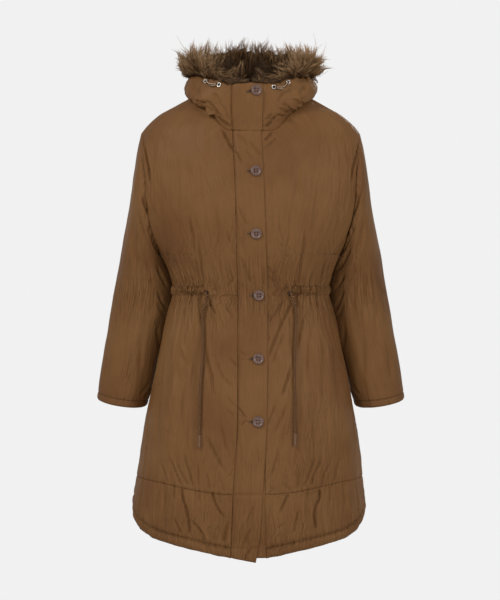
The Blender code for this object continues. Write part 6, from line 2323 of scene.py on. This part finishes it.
def sew_line(places, normals):
    """Small rounded dashes laid along a line of places."""
    gone = distances(places)
    count = int(gone[-1] / STITCH_PITCH)
    if count < 1:
        return
    middle = (np.arange(count) + 0.5) * gone[-1] / count
    ends = []
    for shift in (-STITCH_LENGTH / 2, 0.0, STITCH_LENGTH / 2):
        at = np.clip(middle + shift, 0, gone[-1])
        ends.append(at_distances(at, gone, places))
    out = unit(at_distances(middle, gone, normals))
    tangent = unit(ends[2] - ends[0])
    side = np.cross(out, tangent)
    half = STITCH_WIDTH / 2
    rows = []
    for k, (size, lift) in enumerate(((0.55, -0.1), (1.0, 0.42), (0.55, -0.1))):
        centre = ends[k] + out * lift
        for s in range(STITCH_SIDES):
            turn = 2 * math.pi * s / STITCH_SIDES
            level, upright = half * size * math.cos(turn), half * size * math.sin(turn)
            rows.append(centre + side * level + out * upright)
    points = np.stack(rows, axis=1)
    faces = end_caps(len(ends), STITCH_SIDES) + ring_faces(len(ends), STITCH_SIDES)
    for dash in points:
        SEWN_DASHES.append((dash, faces))


def sew_grid(outer, normal, edge, inset):
    row, column = line_beside(outer, edge, inset)
    places = sample_grid(outer, row, column)
    normals = sample_grid(normal, row, column)
    sew_line(places, normals)


def make_stitches(thread):
    points, faces = merged(SEWN_DASHES)
    piece = add_mesh("seam_stitches", points, faces, thread)


BUTTONHOLE_LENGTH = 27.5
BUTTONHOLE_HALF_HEIGHT = 1.9
BUTTONHOLE_SHIFT = -5.2
BUTTONHOLE_SLOPE_AT_TOP = 0.22
BUTTONHOLE_LIFT = 0.35
BAR_RADIUS = 0.5
BAR_SIDES = 5


def make_buttonholes(thread, dark):
    """Each buttonhole: a bar of close stitching round a slit, under its button, with a flat dark sheet in
    the slit for painted shade.
    """
    bars, slit_shades = [], []
    for number, spot in enumerate(BUTTONS):
        slope = BUTTONHOLE_SLOPE_AT_TOP if number == 0 else 0.0
        half = BUTTONHOLE_LENGTH / 2
        count = 72
        loop = []
        for k in range(count):
            turn = 2 * math.pi * k / count
            x = spot.x + BUTTONHOLE_SHIFT + signed_power(math.cos(turn), 0.35) * half
            z = spot.height + signed_power(math.sin(turn), 0.7) * BUTTONHOLE_HALF_HEIGHT
            z += slope * (x - spot.x)
            x = min(x, spot.x + 9.0)
            place, normal = flat_seat(placket_seat(float(x), float(z) if number else spot.height))
            if number == 0:
                place = place + np.array([0, 0, z - spot.height])
            loop.append((place + normal * BUTTONHOLE_LIFT, normal))
        centre = sum(place for place, _ in loop) / count
        for k in range(count):
            (a, normal), (b, _) = loop[k], loop[(k + 1) % count]
            inward = unit(centre - a - (centre - a) @ unit(b - a) * unit(b - a))
            rise = 0.25 if k % 2 else 0.0
            route = [
                a - inward * 0.9 + normal * (rise - 0.3),
                a + normal * (0.45 + rise),
                a + inward * 0.7 + normal * (rise - 0.3),
            ]
            bars.append(tube(route, BAR_RADIUS, BAR_SIDES))
        # A flat near-black sheet inside each loop: painted shade in the slit.
        inner = [place + (centre - place) * 0.28 - normal * 0.15 for place, normal in loop]
        slit_shades.append((np.array(inner), [tuple(range(count))]))
    points, faces = merged(bars)
    piece = add_mesh("buttonhole_bars", points, faces, thread)
    points, faces = merged(slit_shades)
    piece = add_mesh("buttonhole_slit_shades", points, faces, dark)


# ---------------------------------------------------------------- materials
class Nodes:
    """A small helper that builds a material's node tree."""

    def __init__(self, name):
        self.material = bpy.data.materials.new(name)
        self.material.use_nodes = True
        self.tree = self.material.node_tree
        self.shader = self.tree.nodes["Principled BSDF"]

    def add(self, kind, **values):
        node = self.tree.nodes.new(kind)
        for key, value in values.items():
            setattr(node, key, value)
        return node

    def link(self, source, target):
        self.tree.links.new(source, target)

    def set(self, **values):
        for key, value in values.items():
            self.shader.inputs[key.replace("_", " ")].default_value = value

    def wire(self, **sources):
        for key, source in sources.items():
            self.link(source, self.shader.inputs[key.replace("_", " ")])

    def coordinates(self, kind="Object"):
        return self.add("ShaderNodeTexCoord").outputs[kind]

    def noise(self, vector, scale, detail=3.0, roughness=0.55):
        node = self.add("ShaderNodeTexNoise")
        node.inputs["Scale"].default_value = scale
        node.inputs["Detail"].default_value = detail
        node.inputs["Roughness"].default_value = roughness
        self.link(vector, node.inputs["Vector"])
        return node.outputs["Fac"]

    def ramp(self, value, stops):
        node = self.add("ShaderNodeValToRGB")
        elements = node.color_ramp.elements
        while len(elements) < len(stops):
            elements.new(0.5)
        for element, (place, colour) in zip(elements, stops):
            element.position = place
            element.color = (*colour, 1)
        self.link(value, node.inputs["Fac"])
        return node.outputs["Color"]

    def mix(self, first, second, share, mode="MIX"):
        node = self.add("ShaderNodeMix", data_type="RGBA", blend_type=mode)
        for name, value in (("A", first), ("B", second), ("Factor", share)):
            index = {"Factor": 0, "A": 6, "B": 7}[name]
            socket = node.inputs[index]
            if isinstance(value, (int, float)):
                socket.default_value = value
            elif isinstance(value, tuple):
                socket.default_value = (*value, 1)
            else:
                self.link(value, socket)
        return node.outputs[2]

    def math(self, operation, first, second=None):
        node = self.add("ShaderNodeMath", operation=operation)
        for socket, value in zip(node.inputs, (first, second)):
            if value is None:
                continue
            if isinstance(value, (int, float)):
                socket.default_value = value
            else:
                self.link(value, socket)
        return node.outputs[0]

    def bump(self, height, strength, distance, normal=None):
        node = self.add("ShaderNodeBump")
        node.inputs["Strength"].default_value = strength
        node.inputs["Distance"].default_value = distance
        self.link(height, node.inputs["Height"])
        if normal is not None:
            self.link(normal, node.inputs["Normal"])
        return node.outputs["Normal"]

    def scaled(self, vector, scale):
        node = self.add("ShaderNodeMapping")
        node.inputs["Scale"].default_value = scale
        self.link(vector, node.inputs["Vector"])
        return node.outputs["Vector"]


SHELL_COLOUR = (0.144, 0.0665, 0.0231)
SHELL_DARK = (0.123, 0.0535, 0.0183)
SHELL_LIGHT = (0.165, 0.0805, 0.0289)


def shell_material():
    """Brown nylon with a soft sheen: fine weave, small crinkles and slow changes of colour."""
    n = Nodes("brown_nylon")
    place = n.coordinates("Object")
    slow = n.noise(place, 7.0, 3.0)
    colour = n.ramp(slow, ((0.30, SHELL_DARK), (0.52, SHELL_COLOUR), (0.78, SHELL_LIGHT)))
    cloth = n.coordinates("UV")
    streak = n.noise(n.scaled(cloth, (330.0, 17.0, 1.0)), 1.0, 3.0, 0.6)
    streaks = n.ramp(streak, ((0.25, (0.88,) * 3), (0.75, (1.10,) * 3)))
    n.wire(Base_Color=n.mix(colour, streaks, 0.8, "MULTIPLY"))
    n.set(Roughness=0.5)
    n.set(Specular_IOR_Level=0.10)
    broken = n.ramp(n.noise(place, 11.0, 2.0), ((0.42, (0.0,) * 3), (0.58, (1.0,) * 3)))
    split = n.add("ShaderNodeSeparateXYZ")
    n.link(place, split.inputs[0])
    drop = n.math("MULTIPLY", split.outputs[2], -1.0)
    broken = n.mix(broken, n.ramp(drop, ((0.12, (0.35,) * 3), (0.30, (1.0,) * 3))), 1.0, "MULTIPLY")
    long_lines = valley_lines(n, cloth, (34.0, 5.0, 1.0), broken)
    short_lines = valley_lines(n, cloth, (85.0, 16.0, 1.0), broken)
    by_gathers = n.ramp(drop, (
        (0.31, (0.0,) * 3), (0.385, (1.0,) * 3), (0.42, (1.0,) * 3), (0.50, (0.0,) * 3),
        (0.80, (0.0,) * 3), (0.88, (0.4,) * 3), (0.95, (0.7,) * 3),
    ))
    fan_lines = valley_lines(n, cloth, (150.0, 8.0, 1.0), by_gathers)
    crinkle = n.noise(n.scaled(place, (1.0, 1.0, 0.45)), 60.0, 4.0, 0.55)
    pucker = n.noise(n.scaled(place, (1.0, 1.0, 0.6)), 24.0, 3.0, 0.5)
    normal = n.bump(streak, 0.5, 0.0012)
    normal = n.bump(long_lines, 0.6, 0.0016, normal)
    normal = n.bump(short_lines, 0.5, 0.0010, normal)
    normal = n.bump(fan_lines, 0.8, 0.0018, normal)
    normal = n.bump(crinkle, 0.40, 0.0014, normal)
    normal = n.bump(pucker, 0.24, 0.0030, normal)
    n.wire(Normal=normal)
    return n.material


VALLEY_WIDTH = 0.035          # of the noise's range


def valley_lines(n, cloth, scale, broken):
    """Thin wandering creases: narrow valleys where a stretched noise crosses its middle."""
    field = n.noise(n.scaled(cloth, scale), 1.0, 2.0, 0.5)
    off = n.math("ABSOLUTE", n.math("SUBTRACT", field, 0.5))
    line = n.ramp(off, ((0.0, (0.0,) * 3), (VALLEY_WIDTH, (1.0,) * 3)))
    return n.mix((1.0, 1.0, 1.0), line, broken)


def speckled_material(name, speckle, colours, bump=None, grain=None, stretch=None, **shader):
    """Two colours mixed by a fine noise; that noise, or a finer grain, gives a slight relief."""
    n = Nodes(name)
    place = n.coordinates("Object")
    if stretch:
        place = n.scaled(place, stretch)
    fleck = n.noise(place, *speckle)
    n.wire(Base_Color=n.ramp(fleck, colours))
    n.set(**shader)
    if bump:
        relief = n.noise(place, *grain) if grain else fleck
        n.wire(Normal=n.bump(relief, *bump))
    return n.material


def thread_material():
    colours = ((0.3, (0.075, 0.037, 0.016)), (0.7, (0.140, 0.070, 0.030)))
    return speckled_material("brown_thread", (900.0, 2.0), colours, (0.4, 0.0003), Roughness=0.55)


def hair_material():
    """Faux fur: dark roots, light tips, and a tone for each lock, which also carries painted shade deep
    inside the hood.
    """
    n = Nodes("fur_hair")
    split = n.add("ShaderNodeSeparateXYZ")
    n.link(n.coordinates("UV"), split.inputs[0])
    along, tone = split.outputs[0], split.outputs[1]
    light = n.ramp(along, (
        (0.0, (0.028, 0.012, 0.004)), (0.26, (0.112, 0.056, 0.022)),
        (0.62, (0.262, 0.148, 0.069)), (1.0, (0.470, 0.300, 0.165)),
    ))
    dark = n.ramp(along, (
        (0.0, (0.012, 0.006, 0.002)), (0.35, (0.036, 0.017, 0.006)),
        (0.75, (0.090, 0.045, 0.018)), (1.0, (0.180, 0.100, 0.046)),
    ))
    n.wire(Base_Color=n.mix(dark, light, tone))
    n.set(Roughness=0.5)
    n.set(Specular_IOR_Level=0.06)
    return n.material


def pile_material():
    """The pile that the hairs stand in, seen only between them."""
    colours = ((0.3, (0.018, 0.010, 0.005)), (0.7, (0.070, 0.040, 0.021)))
    return speckled_material(
        "fur_pile", (260.0, 3.0, 0.7), colours, (0.9, 0.002), grain=(180.0, 4.0, 0.7),
        Roughness=0.9, Specular_IOR_Level=0.1,
    )


def button_material():
    """Mauve-brown moulded plastic, faintly clouded."""
    colours = ((0.3, (0.075, 0.038, 0.028)), (0.7, (0.128, 0.068, 0.052)))
    return speckled_material(
        "button_plastic", (130.0, 3.0), colours, (0.06, 0.0002), grain=(700.0, 2.0),
        Roughness=0.34, Specular_IOR_Level=0.5,
    )


def metal_material(name, colour, roughness):
    darker = tuple(c * 0.72 for c in colour)
    return speckled_material(
        name, (420.0, 3.0), ((0.35, darker), (0.65, colour)), (0.05, 0.0002),
        Metallic=1.0, Roughness=roughness,
    )


def cord_material():
    """Braided cord: dark and tan yarns in a diagonal speckle."""
    n = Nodes("speckled_braid")
    cloth = n.coordinates("UV")
    checks = n.add("ShaderNodeTexChecker")
    checks.inputs["Scale"].default_value = 1.0
    n.link(n.scaled(cloth, (4.0, 3.0, 1.0)), checks.inputs["Vector"])
    fleck = n.noise(n.coordinates("Object"), 520.0, 3.0, 0.7)
    pale = n.ramp(fleck, ((0.35, (0.100, 0.045, 0.018)), (0.65, (0.215, 0.112, 0.054))))
    deep = n.ramp(fleck, ((0.35, (0.015, 0.006, 0.002)), (0.65, (0.055, 0.024, 0.009))))
    n.wire(Base_Color=n.mix(deep, pale, checks.outputs["Fac"]))
    n.set(Roughness=0.8)
    n.set(Specular_IOR_Level=0.1)
    n.wire(Normal=n.bump(fleck, 0.5, 0.0005))
    return n.material


def tip_material():
    colours = ((0.3, (0.085, 0.043, 0.021)), (0.7, (0.160, 0.088, 0.047)))
    return speckled_material(
        "cord_tip", (500.0, 3.0), colours, (0.12, 0.0003), stretch=(1.0, 1.0, 0.2),
        Roughness=0.5, Specular_IOR_Level=0.2,
    )


# Pale cream, for the thin tubes along the hood cords: painted highlights.
def painted_highlight_material():
    colours = ((0.3, (0.34, 0.28, 0.20)), (0.7, (0.62, 0.55, 0.44)))
    return speckled_material("painted_cord_highlight", (800.0, 2.0), colours, (0.3, 0.0003), Roughness=0.6)


def dark_material():
    colours = ((0.3, (0.010, 0.006, 0.004)), (0.7, (0.022, 0.013, 0.008)))
    return speckled_material("slit_shadow", (300.0, 2.0), colours, Roughness=0.9)


# ---------------------------------------------------------------- floor and light
FLOOR_HEIGHT = -1.30
PAPER = 0.88
AMBIENT = 0.60


def make_stage():
    mesh = bpy.data.meshes.new("floor")
    size = 9.0
    corners = [(-size, -size, 0), (size, -size, 0), (size, size, 0), (-size, size, 0)]
    mesh.from_pydata(corners, [], [(0, 1, 2, 3)])
    floor = bpy.data.objects.new("floor", mesh)
    floor.location = (0, 0, FLOOR_HEIGHT)
    bpy.context.scene.collection.objects.link(floor)
    material = bpy.data.materials.new("pale_floor")
    material.use_nodes = True
    tree = material.node_tree
    tree.nodes.clear()
    glow = tree.nodes.new("ShaderNodeEmission")
    glow.inputs["Color"].default_value = (PAPER, PAPER, PAPER, 1)
    out = tree.nodes.new("ShaderNodeOutputMaterial")
    tree.links.new(glow.outputs[0], out.inputs["Surface"])
    mesh.materials.append(material)
    floor.visible_diffuse = False
    floor.visible_glossy = False


def area_light(name, place, aim, size, watts, colour=(1.0, 0.985, 0.965)):
    light = bpy.data.lights.new(name, "AREA")
    light.shape = "DISK"
    light.size = size
    light.energy = watts
    light.color = colour
    lamp = bpy.data.objects.new(name, light)
    lamp.location = place
    direction = Vector(aim) - Vector(place)
    lamp.rotation_euler = direction.to_track_quat("-Z", "Y").to_euler()
    bpy.context.scene.collection.objects.link(lamp)


def make_light():
    world = bpy.data.worlds.new("studio")
    bpy.context.scene.world = world
    world.use_nodes = True
    tree = world.node_tree
    background = tree.nodes["Background"]
    background.inputs["Color"].default_value = (AMBIENT, AMBIENT, AMBIENT * 0.98, 1)
    paper = tree.nodes.new("ShaderNodeBackground")
    paper.inputs["Color"].default_value = (PAPER, PAPER, PAPER, 1)
    seen = tree.nodes.new("ShaderNodeLightPath")
    mix = tree.nodes.new("ShaderNodeMixShader")
    tree.links.new(seen.outputs["Is Camera Ray"], mix.inputs[0])
    tree.links.new(background.outputs[0], mix.inputs[1])
    tree.links.new(paper.outputs[0], mix.inputs[2])
    tree.links.new(mix.outputs[0], tree.nodes["World Output"].inputs["Surface"])
    area_light("key", (-2.0, -2.3, 1.7), (0, 0, -0.42), 0.8, 56)
    area_light("fill", (2.3, -2.6, 0.7), (0, 0, -0.5), 1.0, 38)
    area_light("behind", (0.9, 3.0, 1.2), (0, 0, -0.45), 1.4, 34)
    area_light("low", (-0.2, -2.7, -1.15), (0, 0, -0.6), 0.8, 12)
    bpy.context.scene.view_settings.view_transform = "Standard"


def main():
    make_camera()
    dark = dark_material()
    thread = thread_material()
    shell = shell_material()
    make_cords(cord_material(), tip_material(), painted_highlight_material())
    make_fronts(shell)
    make_back(shell)
    make_bands(shell)
    make_channels(shell)
    make_placket(shell)
    make_underlap(shell)
    make_sleeves(shell)
    make_hood(shell)
    make_placket_top(shell)
    fur = {"hair": hair_material(), "core": pile_material()}
    make_fur(fur)
    make_tufts(fur["hair"])
    make_fur_lining(fur)
    make_buttons(button_material(), thread)
    make_eyelets(
        metal_material("dark_eyelet", (0.085, 0.050, 0.032), 0.22),
        metal_material("bright_eyelet", (0.66, 0.61, 0.55), 0.25),
        dark,
    )
    make_buttonholes(thread, dark)
    make_stitches(thread)
    make_stage()
    make_light()


main()
